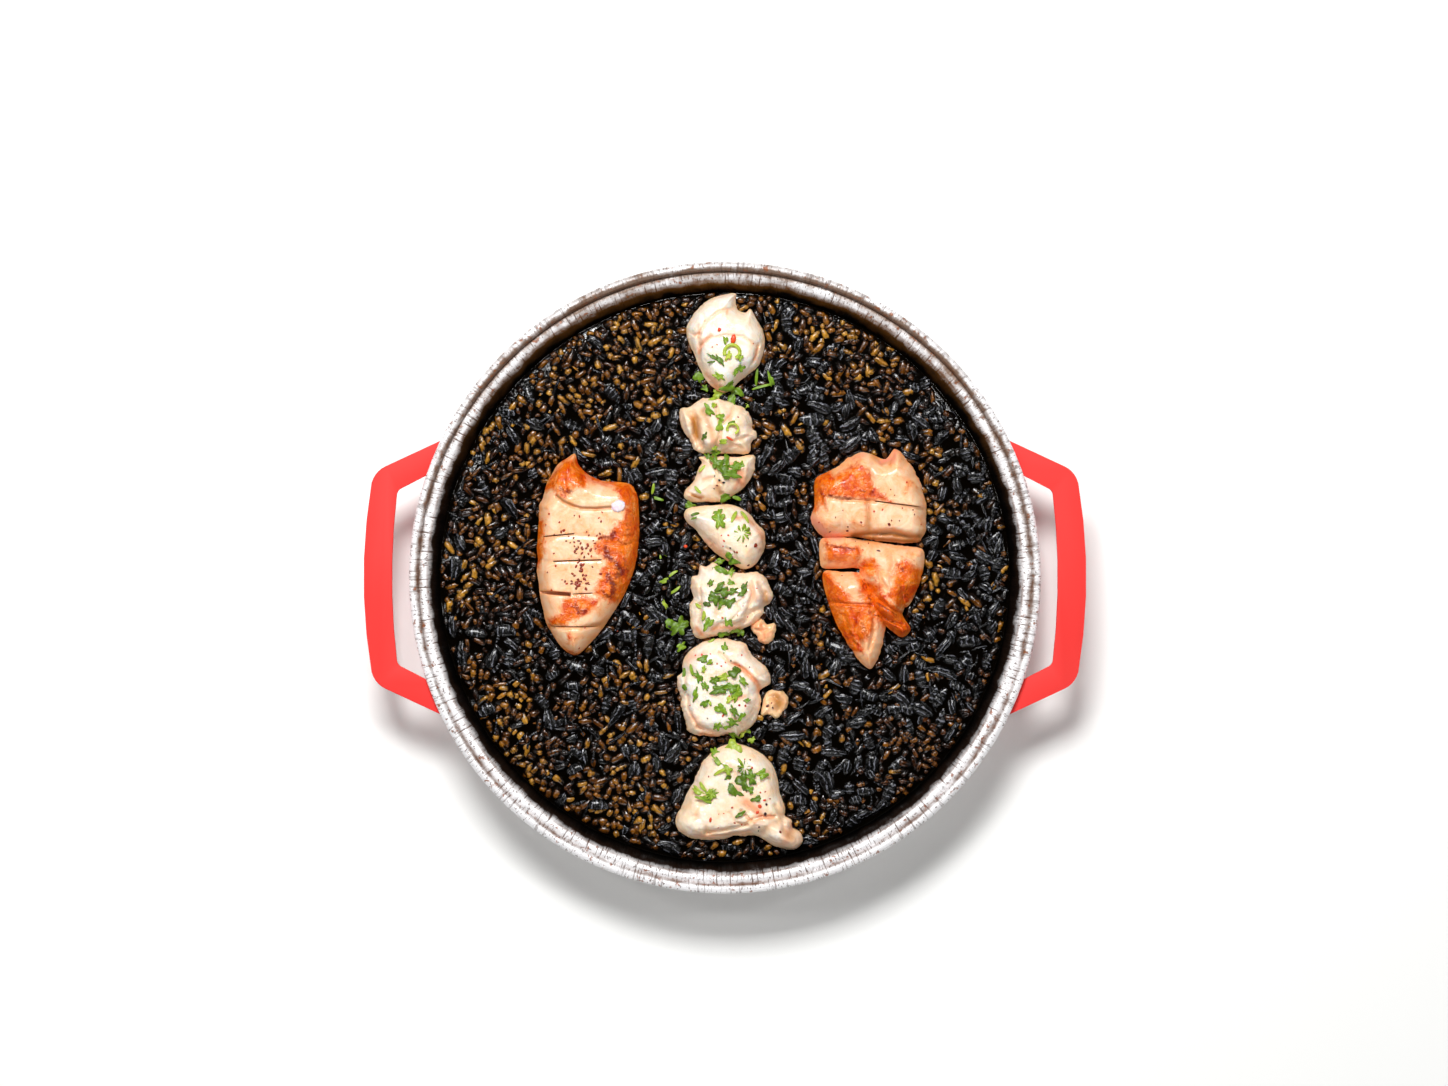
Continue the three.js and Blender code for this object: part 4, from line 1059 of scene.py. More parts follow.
# Painted ochre shade under overhanging edges, on cut faces and along folds and cuts.
OCHRE_SHADE_CUTTLEFISH = [
    ([(43.6, 14.4), (50, 14.8), (57, 14), (65, 13.6)], 0.9, 0.85),
    ([(43, 13.4), (50, 12.8), (57, 12.4), (65, 11.8)], 1.0, 1.0),
    ([(-56, 27.4), (-53.4, 25.4), (-50, 24)], 0.45, 0.9),
    ([(-50, 24), (-47.4, 23.4), (-43, 23.3), (-38, 23.7)], 0.35, 0.9),
    ([(49, 38), (48.4, 27)], 0.9, 0.25),
    ([(52, 26), (56, 24.6), (66, 23)], 0.5, 0.6), ([(47.6, 25.6), (48, 16)], 0.9, 0.35),
    ([(45, -3), (47.4, -7.6)], 1.6, 0.5), ([(-47, -16.6), (-43, -16.2), (-38, -14)], 1.2, 0.3),
]
CUTTLEFISH_CREASES = {
    "cuttlefish_left": [
        ([(-60, 13), (-49.3, 14), (-41.2, 13.5)], 0.8, 0.5), ([(-60, 5.4), (-41.2, 5.8)], 0.8, 0.6),
        ([(-61, -5), (-51.2, -5.6), (-43, -5.4)], 0.9, 0.8),
        ([(-57.4, -16.6), (-47.4, -16.6), (-41.6, -16)], 0.7, 0.8),
        ([(-56, 27), (-53.4, 25), (-50.2, 23.5), (-47.4, 22.8), (-43.1, 22.7), (-38, 23)], 0.5, 1.2),
        ([(-54.4, 26.6), (-50.2, 25), (-43, 24.6), (-38, 24.8)], 0.9, -0.5),
        ([(-53.4, 34), (-53, 29.4), (-51.4, 27.6)], 0.9, 1.0), ([(-56, 35), (-55.4, 30)], 1.1, -0.6),
        ([(-49.6, 36), (-48.8, 31)], 1.4, -0.5), ([(-47.4, 33.4), (-46.6, 30.4)], 0.7, 0.9),
        ([(-41, 13), (-43, 10.4), (-42.4, 8)], 0.6, 0.6),
        ([(-38, 15.6), (-34, 13.6), (-30.6, 13.8)], 0.5, 0.7),
        ([(-39.6, 11.4), (-34, 10.4), (-30.6, 11.4)], 0.5, 0.7), ([(-38, 8), (-34.4, 7.6)], 0.7, 0.7),
        ([(-36.6, 19), (-33.4, 17), (-31, 17.6)], 0.6, 0.4),
        ([(-39, 3), (-35.4, 2.4), (-34, -1)], 0.8, 0.8),
        ([(-40.6, -1.6), (-37.4, -2.4), (-35.4, -5)], 0.7, 0.7), ([(-40, -6.6), (-36, -8)], 0.7, 0.6),
    ],
    "cuttlefish_right_upper": [
        ([(34.6, 26.4), (40, 25.8), (46, 25.6), (50, 25.3)], 0.6, 1.1),
        ([(48.2, 36), (49.6, 31), (48.4, 26)], 0.9, 0.5),
        ([(47.4, 24), (47.8, 15)], 1.1, 0.9), ([(40, 24), (38.6, 17)], 1.4, 0.4),
        ([(36, 36), (35.6, 32), (33.2, 28)], 0.6, 1.0), ([(32, 27), (33.4, 22.4)], 0.6, 0.6),
        ([(43, 13.8), (50, 14.4), (56, 15), (64, 12.6)], 1.0, 2.6), ([(42, 32), (44, 29)], 1.6, -0.4),
        ([(50, 41), (52.6, 38.4), (55.4, 39.6), (57.4, 43)], 0.9, 2.0),
    ],
    "cuttlefish_right_middle": [
        ([(44.6, 10.6), (45.2, 7), (44.4, 4)], 0.6, 0.9), ([(49.4, 10.8), (48.8, 5)], 1.0, 0.6),
        ([(55, 9), (56.4, 5), (55, 2)], 1.0, 0.7), ([(33.6, 9), (43, 8.4)], 0.7, 0.4),
        ([(60, 9.4), (61.6, 6)], 0.8, -0.5),
    ],
    "cuttlefish_right_lower": [
        ([(34, -8.2), (41, -8.8), (48.6, -9.2)], 0.55, 1.3),
        ([(39, -1), (42, -5), (46, -7.4)], 1.6, 0.5),
        ([(44.4, -12), (43.6, -18), (45.4, -22)], 0.8, 0.9), ([(46.4, -12), (46.6, -19)], 1.2, -0.6),
        ([(49.6, -12), (49.4, -19), (48, -24)], 0.8, 0.9),
        ([(40, -13), (41, -18), (43.6, -22.6)], 0.7, 0.6),
        ([(43, -22), (45.6, -23.4)], 0.7, 0.6),
    ],
    "cuttlefish_right_flap": [
        ([(47.6, -4.6), (50.4, -6.4), (54, -9.6), (58, -11.6), (61, -13)], 0.6, 1.9),
        ([(48, -9), (51, -12), (55, -14.2), (59.4, -16)], 0.6, 2.0),
        ([(49.4, -3.4), (52.6, -6.6), (56.6, -9.4)], 0.9, -0.6),
        ([(48.6, -7.6), (52, -10.6), (56, -12.6)], 0.9, -0.7),
        ([(48.8, -11.4), (52.4, -14.2), (56, -16), (59.6, -18.6)], 0.9, -0.8),
        ([(51.6, 4), (51.4, 0), (53.6, -3.4)], 0.8, 1.2), ([(55.4, 2), (55, -2), (55.6, -6)], 0.9, 0.8),
        ([(58.4, 2), (58.6, -3), (60, -8)], 0.8, 0.5),
    ],
}

# %% [markdown]
# Seared cuttlefish: firm ivory flesh, translucent like the fish, with a skin of oil and paprika
# that the heat turned orange to red-brown. The browned skin is glossier than the flesh.

# %% Cuttlefish material
squid, squid_shader = new_material("seared_cuttlefish")
squid_place = add(squid, "TexCoord")
SEAR_MM = 4.5
sear_cloud = add(
    squid, "TexNoise",
    {"Vector": squid_place, "Scale": 1 / (SEAR_MM * MM), "Detail": 5.0, "Roughness": 0.68,
     "Distortion": 0.6},
)
WRINKLE_MM = 1.3
wrinkles = add(
    squid, "TexNoise",
    {"Vector": squid_place, "Scale": 1 / (WRINKLE_MM * MM), "Detail": 3.0, "Distortion": 0.8},
)
toast = add(squid, "Attribute", attribute_name="toast")
char = add(squid, "Attribute", attribute_name="char")
squid_pink = add(squid, "Attribute", attribute_name="pink")
# Painted shade: ochre under edges and on cut faces, peach along the scored creases.
squid_ochre_shade = add(squid, "Attribute", attribute_name="ochre_shade")
squid_crease_shade = add(squid, "Attribute", attribute_name="crease")
ivory_range = add(squid, "MapRange", {"Value": sear_cloud, "From Min": 0.35, "From Max": 0.7})
ivory = add(squid, "Mix", {0: ivory_range, MIX_A: "#fddcba", MIX_B: "#fcab6c"}, data_type="RGBA")
glow = add(squid, "Attribute", attribute_name="glow")
peached = add(squid, "Mix", {0: glow, MIX_A: ivory, MIX_B: "#f98f30"}, data_type="RGBA")
# Painted peach shade along the scored creases.
crease_shaded = add(squid, "Mix", {0: squid_crease_shade, MIX_A: peached, MIX_B: "#dc8f4c"}, data_type="RGBA")
ochre_shaded = add(squid, "Mix", {0: squid_ochre_shade, MIX_A: crease_shaded, MIX_B: "#9a5a16"}, data_type="RGBA")
pinked = add(squid, "Mix", {0: squid_pink, MIX_A: ochre_shaded, MIX_B: "#f0937a"}, data_type="RGBA")
orange_range = add(squid, "MapRange", {"Value": sear_cloud, "From Min": 0.36, "From Max": 0.66})
orange = add(squid, "Mix", {0: orange_range, MIX_A: "#fb8400", MIX_B: "#cc3800"}, data_type="RGBA")
toast_fray = add(squid, "Math", {0: wrinkles, 1: 0.5}, operation="SUBTRACT")
toast_blotch = add(squid, "Math", {0: sear_cloud, 1: 0.5}, operation="SUBTRACT")
toast_frayed = add(squid, "Math", {0: toast_fray, 1: 1.1, 2: toast}, operation="MULTIPLY_ADD")
toast_sum = add(squid, "Math", {0: toast_blotch, 1: 1.5, 2: toast_frayed}, operation="MULTIPLY_ADD")
toast_here = add(squid, "MapRange", {"Value": toast_sum, "From Min": 0.2, "From Max": 0.95})
toasted = add(squid, "Mix", {0: toast_here, MIX_A: pinked, MIX_B: orange}, data_type="RGBA")
caramel_range = add(
    squid, "MapRange", {"Value": sear_cloud, "From Min": 0.5, "From Max": 0.72, "To Max": 0.55}
)
caramel = add(squid, "Math", {0: caramel_range, 1: toast}, operation="MULTIPLY")
char_places = add(squid, "Math", {0: caramel, 1: char}, operation="ADD")
char_sum = add(squid, "Math", {0: toast_fray, 1: 1.6, 2: char_places}, operation="MULTIPLY_ADD")
char_here = add(
    squid, "MapRange", {"Value": char_sum, "From Min": 0.35, "From Max": 0.95, "To Max": 0.9}
)
squid_colour = add(squid, "Mix", {0: char_here, MIX_A: toasted, MIX_B: "#7c1a05"}, data_type="RGBA")
wrinkle_height = add(squid, "Math", {0: toast_here, 1: 0.75, 2: 0.25}, operation="MULTIPLY_ADD")
wrinkled = add(squid, "Math", {0: wrinkles, 1: wrinkle_height}, operation="MULTIPLY")
squid_bump = add(squid, "Bump", {"Height": wrinkled, "Strength": 0.8, "Distance": 0.6 * MM})
oiled = add(squid, "MapRange", {"Value": toast_here, "To Min": 0.12, "To Max": 0.2})
wire(squid, oiled, squid_shader.inputs["Coat Weight"])
wire(squid, squid_colour, squid_shader.inputs["Base Color"])
wire(squid, squid_bump, squid_shader.inputs["Normal"])
squid_shader.inputs["Roughness"].default_value = 0.3
squid_shader.inputs["Subsurface Weight"].default_value = 0.35
squid_shader.inputs["Subsurface Radius"].default_value = (1.0, 0.45, 0.2)
squid_shader.inputs["Subsurface Scale"].default_value = 1.5 * MM
squid_shader.inputs["Coat Roughness"].default_value = 0.1

for number, topping in enumerate(CUTTLEFISH):
    topping["creases"] = CUTTLEFISH_CREASES[topping["name"]]
    mesh = topping_mesh(
        topping, sides=320 if number == 0 else 240, rings=100 if number == 0 else 76,
        ragged=0.45, lumpy=0.35, seed=50 + number,
    )
    if topping["cuts"]:
        mesh = cut_with_blades(mesh, topping["cuts"])
    xy = points_of(mesh)[:, :2] / MM
    toasted_here, halo = np.zeros(len(xy)), np.zeros(len(xy))
    for polygon in TOAST_ZONES:
        toasted_here = np.maximum(toasted_here, zone(xy, polygon, 1.6))
        halo = np.maximum(halo, zone(xy, polygon, 6.0))
    edge = depth_inside(xy, smooth_outline(topping["outline"], 120).tolist())
    paint(mesh, "toast", toasted_here)
    paint(mesh, "glow", np.clip(0.45 * halo**2 + 0.6 * np.exp(-np.maximum(edge, 0) / 1.6), 0, 0.8))
    # Painted peach shade along the scored creases, kept in the attribute called crease.
    paint(
        mesh, "crease", np.clip(crease_sum(xy, [c for c in topping["creases"] if c[2] > 0]), 0, 1) * 0.5
    )
    paint_places(mesh, "char", CHAR_PLACES)
    paint_places(mesh, "pink", PINK_CUTTLEFISH)
    paint_places(mesh, "ochre_shade", OCHRE_SHADE_CUTTLEFISH)
    flesh[topping["name"]] = piece(mesh, squid, [topping["name"]])

# %% [markdown]
# Black rice. On the real dish the grains lie in a thin glossy sauce of squid ink, some still amber
# where the ink has run off. A height map of the bed makes the heap: each new grain is tried at a
# few random places, the lowest wins, the grain lies down along the slope it finds there, and the
# map rises by its shape. That is how a poured heap fills its hollows.

# %% The map of the bed
CELL_MM = 0.5
MAP_HALF_MM = 100
BED_FLOOR_MM = 20.2
GRAIN_TOP_MM = 23.3
RICE_EDGE_MM = 95.6
TUCK_MM = 0.9
ROOM_SEARCH_MM = 7
FAR_FROM_TOPPINGS_MM = 9.0
BLOCKED_MM = 99.0
OPEN_BELOW_MM = 90

map_line = np.arange(-MAP_HALF_MM, MAP_HALF_MM, CELL_MM) + CELL_MM / 2
map_x, map_y = np.meshgrid(map_line, map_line)
map_places = np.column_stack([map_x.ravel(), map_y.ravel()])
room = np.full(len(map_places), FAR_FROM_TOPPINGS_MM)
for loop in topping_loops:
    low, high = np.min(loop, axis=0) - ROOM_SEARCH_MM, np.max(loop, axis=0) + ROOM_SEARCH_MM
    near = np.all((map_places > low) & (map_places < high), axis=1)
    room[near] = np.minimum(room[near], -depth_inside(map_places[near], loop))
room = room.reshape(map_x.shape)
blocked = (room < -TUCK_MM) | (np.hypot(map_x, map_y) > RICE_EDGE_MM)
swell = 0.35 * np.sin(map_x / 13) * np.cos(map_y / 17)
bed = np.where(blocked, BLOCKED_MM, BED_FLOOR_MM + swell + 0.9 * smooth_step(room, 6, -1))
print("open rice in mm2:", int((~blocked).sum() * CELL_MM**2))

# %% [markdown]
# Where which kind of grain lies follows the dish: amber grains lie in patches, mostly on the left
# and at the far side, and the right and near sides are mostly black, with some brown. Each patch
# is a soft spot with a middle, a radius and a strength, and a little noise frays its edge.

# %% Patches of amber grains
AMBER_PATCHES = [
    (-30, 85, 14, 0.9), (-53, 63, 13, 1.0), (-28, 60, 9, 0.9), (-49, 48, 6, 0.8), (-78, 48, 6, 0.8),
    (-63, 41, 8, 1.0), (-33, 40, 6, 0.8), (-76, 13, 11, 0.8), (-88, -3, 7, 0.9), (-72, -22, 8, 0.5),
    (-74, -42, 12, 0.8), (-72, -56, 7, 0.9), (-63, -67, 9, 0.9), (-36, -72, 18, 1.0),
    (-33, -48, 9, 0.7), (-48, -46, 4, 0.7), (-33, -36, 9, 0.5), (-28, -13, 5, 0.8),
    (-41, -24, 5, 0.6), (11, 90, 8, 1.0), (17, 78, 6, 1.0), (29, 83, 7, 0.9), (42, 80, 4, 0.8),
    (54, 73, 8, 0.9), (24, 67, 5, 0.9), (38, 70, 7, 0.8), (13, 52, 7, 1.0), (24, 51, 6, 1.0),
    (52, 49, 5, 0.8), (50, 43, 4, 1.0), (66, 40, 7, 1.0), (71, 24, 7, 0.8), (85, 32, 4, 0.6),
    (13, 28, 5, 0.6), (27, 26, 4, 0.6), (71, -7, 8, 0.7), (67, -29, 6, 0.6), (34, -35, 5, 0.8),
    (28, -54, 7, 0.7), (41, -50, 6, 0.7), (25, -77, 7, 0.6), (30, -85, 5, 0.6), (7, -92, 8, 0.6),
    (28, -19, 4, 0.4), (-12, -64, 4, 0.6), (88, 8, 4, 0.3),
]
BROWN_PATCHES = [
    (-78, 0, 24, 0.8), (-70, 30, 16, 0.6), (-72, -45, 20, 0.6), (70, -64, 16, 0.8),
    (-40, 80, 22, 0.8), (-30, -50, 16, 0.5), (45, 75, 20, 0.6), (25, -25, 10, 0.4),
]


def patch_strength(x, y, patches):
    strength = 0.0
    for patch_x, patch_y, radius, amount in patches:
        off = math.hypot(x - patch_x, y - patch_y) / radius
        strength = max(strength, amount * math.exp(-(off**4) * 0.7))
    return strength


# %% [markdown]
# Three families of shapes make the heap: blunt plump grains, wide bent flakes, and long thin ones
# that are bent more, for shreds of squid. Each is a sphere from bmesh, a few dozen faces, with its
# ends filled out: cooked rice is nearly a rod with round ends. Each point remembers how far across
# and along the grain it lies, so that the material of the shrunken grains can press ridges along
# half of them and rings round the others.

# %% Shapes of the grains
shape_draw = random.Random(3)


def grain_shape(segments, rings, blunt, bend, taper, rough):
    """A grain one unit long, poles on the X axis: its points, faces, and places across and along."""
    bm = bmesh.new()
    bmesh.ops.create_uvsphere(bm, u_segments=segments, v_segments=rings, radius=0.5)
    bmesh.ops.rotate(bm, verts=bm.verts, cent=(0, 0, 0), matrix=Matrix.Rotation(math.pi / 2, 3, "Y"))
    bm.verts.index_update()
    lies = [(2 * vertex.co.y, 3 * vertex.co.x) for vertex in bm.verts]
    for vertex in bm.verts:
        x, y, z = vertex.co
        ball = math.sqrt(max(0.25 - x * x, 1e-12))
        rod = 0.5 * max(1 - abs(2 * x) ** blunt, 0) ** 0.45
        fuller = rod / ball * (1 + taper * x) if ball > 1e-5 else 1
        dent = 1 + shape_draw.uniform(-rough, rough)
        vertex.co = (x * dent, (y * fuller + bend * (x * x - 0.08)) * dent, z * fuller * dent)
    points = np.array([v.co for v in bm.verts])
    faces = [[v.index for v in f.verts] for f in bm.faces]
    bm.free()
    return points, faces, np.array(lies)


PLUMP = [
    grain_shape(
        8, 6, *(shape_draw.uniform(*span) for span in ((2.2, 4.5), (-0.5, 0.5), (-0.4, 0.5))), 0.1
    )
    for _ in range(8)
]
FLAKE = [
    grain_shape(
        10, 6, *(shape_draw.uniform(*span) for span in ((1.8, 3.0), (-0.9, 0.9), (-0.6, 0.7))), 0.1
    )
    for _ in range(6)
]
SHRED = [grain_shape(6, 8, 3.0, shape_draw.uniform(-2.2, 2.2), 0.4, 0.06) for _ in range(5)]
print("faces of a grain:", len(PLUMP[0][1]), "flake:", len(FLAKE[0][1]), "shred:", len(SHRED[0][1]))

GRAIN_KINDS = {
    "amber": {"shapes": PLUMP, "length": (3.2, 7.0), "width": (2.1, 3.3), "height": (1.9, 2.6)},
    "brown": {"shapes": PLUMP, "length": (3.0, 6.0), "width": (1.9, 2.8), "height": (1.8, 2.3)},
    "flake": {"shapes": FLAKE, "length": (5.0, 9.5), "width": (3.2, 5.2), "height": (1.4, 2.2)},
    "black": {"shapes": PLUMP, "length": (3.2, 6.0), "width": (1.8, 2.6), "height": (1.7, 2.2)},
    "shred": {"shapes": SHRED, "length": (4.0, 8.0), "width": (0.7, 1.2), "height": (0.7, 1.1)},
}


def kind_at(x, y, draw):
    fray = 0.25 * noise.noise(Vector((x / 5, y / 5, 1.7)))
    amber = patch_strength(x, y, AMBER_PATCHES) * 0.85 + 0.07 + fray
    brown = patch_strength(x, y, BROWN_PATCHES) * 0.8 + 0.28 + fray
    if draw.random() < amber:
        return "amber"
    if draw.random() < brown:
        return "brown"
    chance = draw.random()
    return "shred" if chance < 0.18 else "black" if chance < (0.6 if x < 0 else 0.38) else "flake"


# %% Lay the grains one by one
def lay_grain(x, y, turn, length, width, height):
    """Lays one grain on the bed at x, y. Returns its place, or None where it doesn't fit."""
    reach = length / 2 + CELL_MM
    low_col, low_row = (int((c - reach + MAP_HALF_MM) / CELL_MM) for c in (x, y))
    span = int(2 * reach / CELL_MM) + 2
    window = (slice(max(low_row, 0), low_row + span), slice(max(low_col, 0), low_col + span))
    dx, dy = map_x[window] - x, map_y[window] - y
    along = (dx * math.cos(turn) + dy * math.sin(turn)) / (length / 2)
    across = (dy * math.cos(turn) - dx * math.sin(turn)) / (width / 2)
    thick = 1 - np.abs(along) ** 3 - across**2
    under = thick > 0
    heights = bed[window][under]
    if len(heights) < 4 or heights.max() > OPEN_BELOW_MM:
        return None
    half = np.sqrt(thick[under]) * height / 2
    run = along[under] * length / 2
    slope = float(np.clip((run @ (heights - heights.mean())) / max(run @ run, 1e-6), -0.45, 0.45))
    middle = float(np.quantile(heights - slope * run + half, 0.5))
    top = middle + slope * run + half
    if top.max() > GRAIN_TOP_MM:
        return None
    patch = bed[window]
    patch[under] = np.maximum(patch[under], top)
    return middle, slope


def low_place(draw, tries):
    """The lowest of a few random open places on the bed."""
    best = None
    while best is None or tries > 0:
        x, y = draw.uniform(-RICE_EDGE_MM, RICE_EDGE_MM), draw.uniform(-RICE_EDGE_MM, RICE_EDGE_MM)
        height = bed[int((y + MAP_HALF_MM) / CELL_MM), int((x + MAP_HALF_MM) / CELL_MM)]
        if height > OPEN_BELOW_MM:
            continue
        tries -= 1
        if best is None or height < best[0]:
            best = (height, x, y)
    return best[1], best[2]


GRAIN_LIMIT = 9500
BROKEN_SHARE = 0.25
TRIES_FOR_A_LOW_PLACE = 9
grain_draw = random.Random(29)
laid = {kind: [] for kind in GRAIN_KINDS}
for _ in range(GRAIN_LIMIT):
    x, y = low_place(grain_draw, TRIES_FOR_A_LOW_PLACE)
    kind = kind_at(x, y, grain_draw)
    sizes = GRAIN_KINDS[kind]
    length, width, height = (grain_draw.uniform(*sizes[k]) for k in ("length", "width", "height"))
    if kind in ("amber", "brown", "black") and grain_draw.random() < BROKEN_SHARE:
        length *= 0.6
    turn = grain_draw.uniform(0, 2 * math.pi)
    found = lay_grain(x, y, turn, length, width, height)
    if found is None:
        continue
    middle, slope = found
    shift = Matrix.Translation((x * MM, y * MM, middle * MM))
    pitch = Matrix.Rotation(turn, 4, "Z") @ Matrix.Rotation(-math.atan(slope), 4, "Y")
    roll = Matrix.Rotation(grain_draw.uniform(-0.5, 0.5), 4, "X")
    size = Matrix.Diagonal((length * MM, width * MM, height * MM, 1))
    laid[kind].append((shift @ pitch @ roll @ size, grain_draw.random()))
open_bed = bed[bed < OPEN_BELOW_MM]
print({kind: len(rows) for kind, rows in laid.items()})
print("bed in mm: mean", round(float(open_bed.mean()), 2), "highest", round(float(open_bed.max()), 2))


# %% Join the copies of each kind
ALONG_SHARE = 0.5


def joined_copies(name, shapes, rows, draw):
    """One mesh from many copies. Each point keeps its copy's shade, its rise and its place across."""
    points, faces, shades, rises, acrosses = [], [], [], [], []
    start = 0
    for matrix, shade in rows:
        shape_points, shape_faces, lies = shapes[draw.randrange(len(shapes))]
        turned = shape_points @ np.array(matrix)[:3, :3].T
        points.append(turned + np.array(matrix)[:3, 3])
        rises.append(turned[:, 2] / np.abs(turned[:, 2]).max())
        shades.append(np.full(len(shape_points), shade))
        acrosses.append(lies[:, 0 if draw.random() < ALONG_SHARE else 1])
        faces += [[start + k for k in face] for face in shape_faces]
        start += len(shape_points)
    mesh = bpy.data.meshes.new(name)
    mesh.from_pydata(np.vstack(points).tolist(), [], faces)
    paint(mesh, "shade", np.concatenate(shades))
    paint(mesh, "rise", np.concatenate(rises))
    paint(mesh, "across", np.concatenate(acrosses))
    return mesh


# %% [markdown]
# Cooked rice under ink. A grain is wet starch, smooth and a little translucent, with a film of
# dark glaze: the glaze gives the sharp small highlights. Its lower half sits in the sauce, so the
# colour runs to black towards its sides: partly the ink it sits in, partly painted shade, which
# draws the dark gaps between grains. The shrunken grains are ridged like a dried bean, and broken
# light grey lines are painted along their ridge crests as painted highlights.

# %% Rice materials
RIDGES_ACROSS, RIDGE_WANDER = 9.0, 6.0
DASH_EACH_MM = 1.4


def glazed_grain(name, dark, middle, light, sunk_shade, mottle_mm, ridges, crest_highlight_strength, wet):
    """Rice in ink: dark to light by copy, dark low down as ink and painted shade, painted crest
    highlights.
    """
    material, shader = new_material(name)
    where = add(material, "TexCoord")
    shade = add(material, "Attribute", attribute_name="shade")
    rise = add(material, "Attribute", attribute_name="rise")
    across = add(material, "Attribute", attribute_name="across")
    spots = add(
        material, "TexNoise",
        {"Vector": where, "Scale": 1 / (mottle_mm * MM), "Detail": 3.0, "Roughness": 0.65},
    )
    lower = add(material, "MapRange", {"Value": shade, "From Max": 0.5})
    upper = add(material, "MapRange", {"Value": shade, "From Min": 0.5})
    first = add(
        material, "Mix", {0: lower, MIX_A: linear(dark), MIX_B: linear(middle)}, data_type="RGBA"
    )
    second = add(material, "Mix", {0: upper, MIX_A: first, MIX_B: linear(light)}, data_type="RGBA")
    ridge_turn = add(material, "Math", {0: across, 1: RIDGES_ACROSS, 2: shade}, operation="MULTIPLY_ADD")
    ridge_bent = add(
        material, "Math", {0: spots, 1: RIDGE_WANDER, 2: ridge_turn}, operation="MULTIPLY_ADD"
    )
    ridge = add(material, "Math", {0: ridge_bent}, operation="SINE")
    relief = add(material, "Math", {0: ridge, 1: ridges, 2: spots}, operation="MULTIPLY_ADD")
    height = add(material, "Math", {0: relief, 1: 0.9, 2: rise}, operation="MULTIPLY_ADD")
    # Dark low on each grain: partly the ink it sits in, partly painted shade between the grains.
    clear_of_ink_and_shade = add(material, "MapRange", {"Value": height, "From Min": 1.0, "From Max": 1.75})
    colour = add(material, "Mix", {0: clear_of_ink_and_shade, MIX_A: linear(sunk_shade), MIX_B: second}, data_type="RGBA")
    # Painted highlights: light grey dashes along the ridge crests, where light would glint.
    crest_highlight = add(
        material, "MapRange", {"Value": ridge, "From Min": 0.6, "From Max": 1.0, "To Max": crest_highlight_strength}
    )
    crest_highlight_on_top = add(material, "Math", {0: crest_highlight, 1: clear_of_ink_and_shade}, operation="MULTIPLY")
    highlight_breaks = add(
        material, "TexNoise", {"Vector": where, "Scale": 1 / (DASH_EACH_MM * MM), "Detail": 1.0}
    )
    highlight_dashes = add(material, "MapRange", {"Value": highlight_breaks, "From Min": 0.4, "From Max": 0.58})
    crest_highlight_here = add(material, "Math", {0: crest_highlight_on_top, 1: highlight_dashes}, operation="MULTIPLY")
    with_crest_highlights = add(
        material, "Mix", {0: crest_highlight_here, MIX_A: colour, MIX_B: "#9496a2"}, data_type="RGBA"
    )
    bump = add(material, "Bump", {"Height": relief, "Strength": 0.65, "Distance": 0.3 * MM})
    wire(material, with_crest_highlights, shader.inputs["Base Color"])
    wire(material, bump, shader.inputs["Normal"])
    shader.inputs["Roughness"].default_value = 0.22
    shader.inputs["IOR"].default_value = 1.5
    shader.inputs["Specular IOR Level"].default_value = 0.15 + 0.2 * wet
    shader.inputs["Coat Weight"].default_value = 0.5 * wet
    shader.inputs["Coat Roughness"].default_value = 0.08
    return material


amber_rice = glazed_grain(
    "amber_rice_in_glaze", "#5f3205", "#a66412", "#eeab3c", "#0e0501", 1.2, 0.08, 0.0, 0.7
)
brown_rice = glazed_grain(
    "brown_rice_in_glaze", "#291104", "#5c2f0b", "#985c1c", "#050201", 1.1, 0.16, 0.0, 0.7
)
black_rice = glazed_grain(
    "ink_black_rice", "#030201", "#0f0603", "#2e1808", "#010101", 0.9, 0.2, 0.12, 0.8
)
ridged_rice = glazed_grain(
    "ridged_black_rice", "#020202", "#050404", "#100d0e", "#010101", 1.1, 0.6, 0.62, 0.6
)

copy_draw = random.Random(5)
RICE_PIECES = [
    ("amber_rice_grains", "amber", amber_rice),
    ("brown_rice_grains", "brown", brown_rice),
    ("ridged_rice_grains", "flake", ridged_rice),
    ("black_rice_grains", "black", black_rice),
    ("squid_ink_shreds", "shred", ridged_rice),
]
for name, kind, material in RICE_PIECES:
    piece(
        joined_copies(name, GRAIN_KINDS[kind]["shapes"], laid[kind], copy_draw), material
    )

# %% [markdown]
# Between the grains stands the sauce: squid ink and stock, reduced to a syrup. It fills the gaps
# to less than half a grain, so it follows the heap in a smooth way: its height is the mean height
# of the bed round each place, lowered until the right share of the bed is under it. It is also
# the core of the rice, down to the bottom of the pan: one spun disc.

# %% The sauce and the core
SAUCE_SHARE = 0.24
SAUCE_REACH_CELLS = 6
SAUCE_LOWEST_MM, SAUCE_HIGHEST_MM = 20.4, 22.4


def blurred(values, reach):
    for axis in (0, 1):
        values = sum(np.roll(values, k, axis=axis) for k in range(-reach, reach + 1)) / (2 * reach + 1)
    return values


open_cells = bed < OPEN_BELOW_MM
filled = np.where(open_cells, bed, 0.0)
mean_bed = blurred(filled, SAUCE_REACH_CELLS) / np.maximum(
    blurred(open_cells * 1.0, SAUCE_REACH_CELLS), 1e-3
)
lowering = float(np.quantile((bed - mean_bed)[open_cells], SAUCE_SHARE))
level = float(mean_bed[open_cells].mean())
sauce_map = np.where(blurred(open_cells * 1.0, SAUCE_REACH_CELLS) > 0.25, mean_bed, level) + lowering
sauce_map = blurred(np.clip(sauce_map, SAUCE_LOWEST_MM, SAUCE_HIGHEST_MM), 5)
print("sauce lies under the mean of the grains by mm:", round(-lowering, 2))

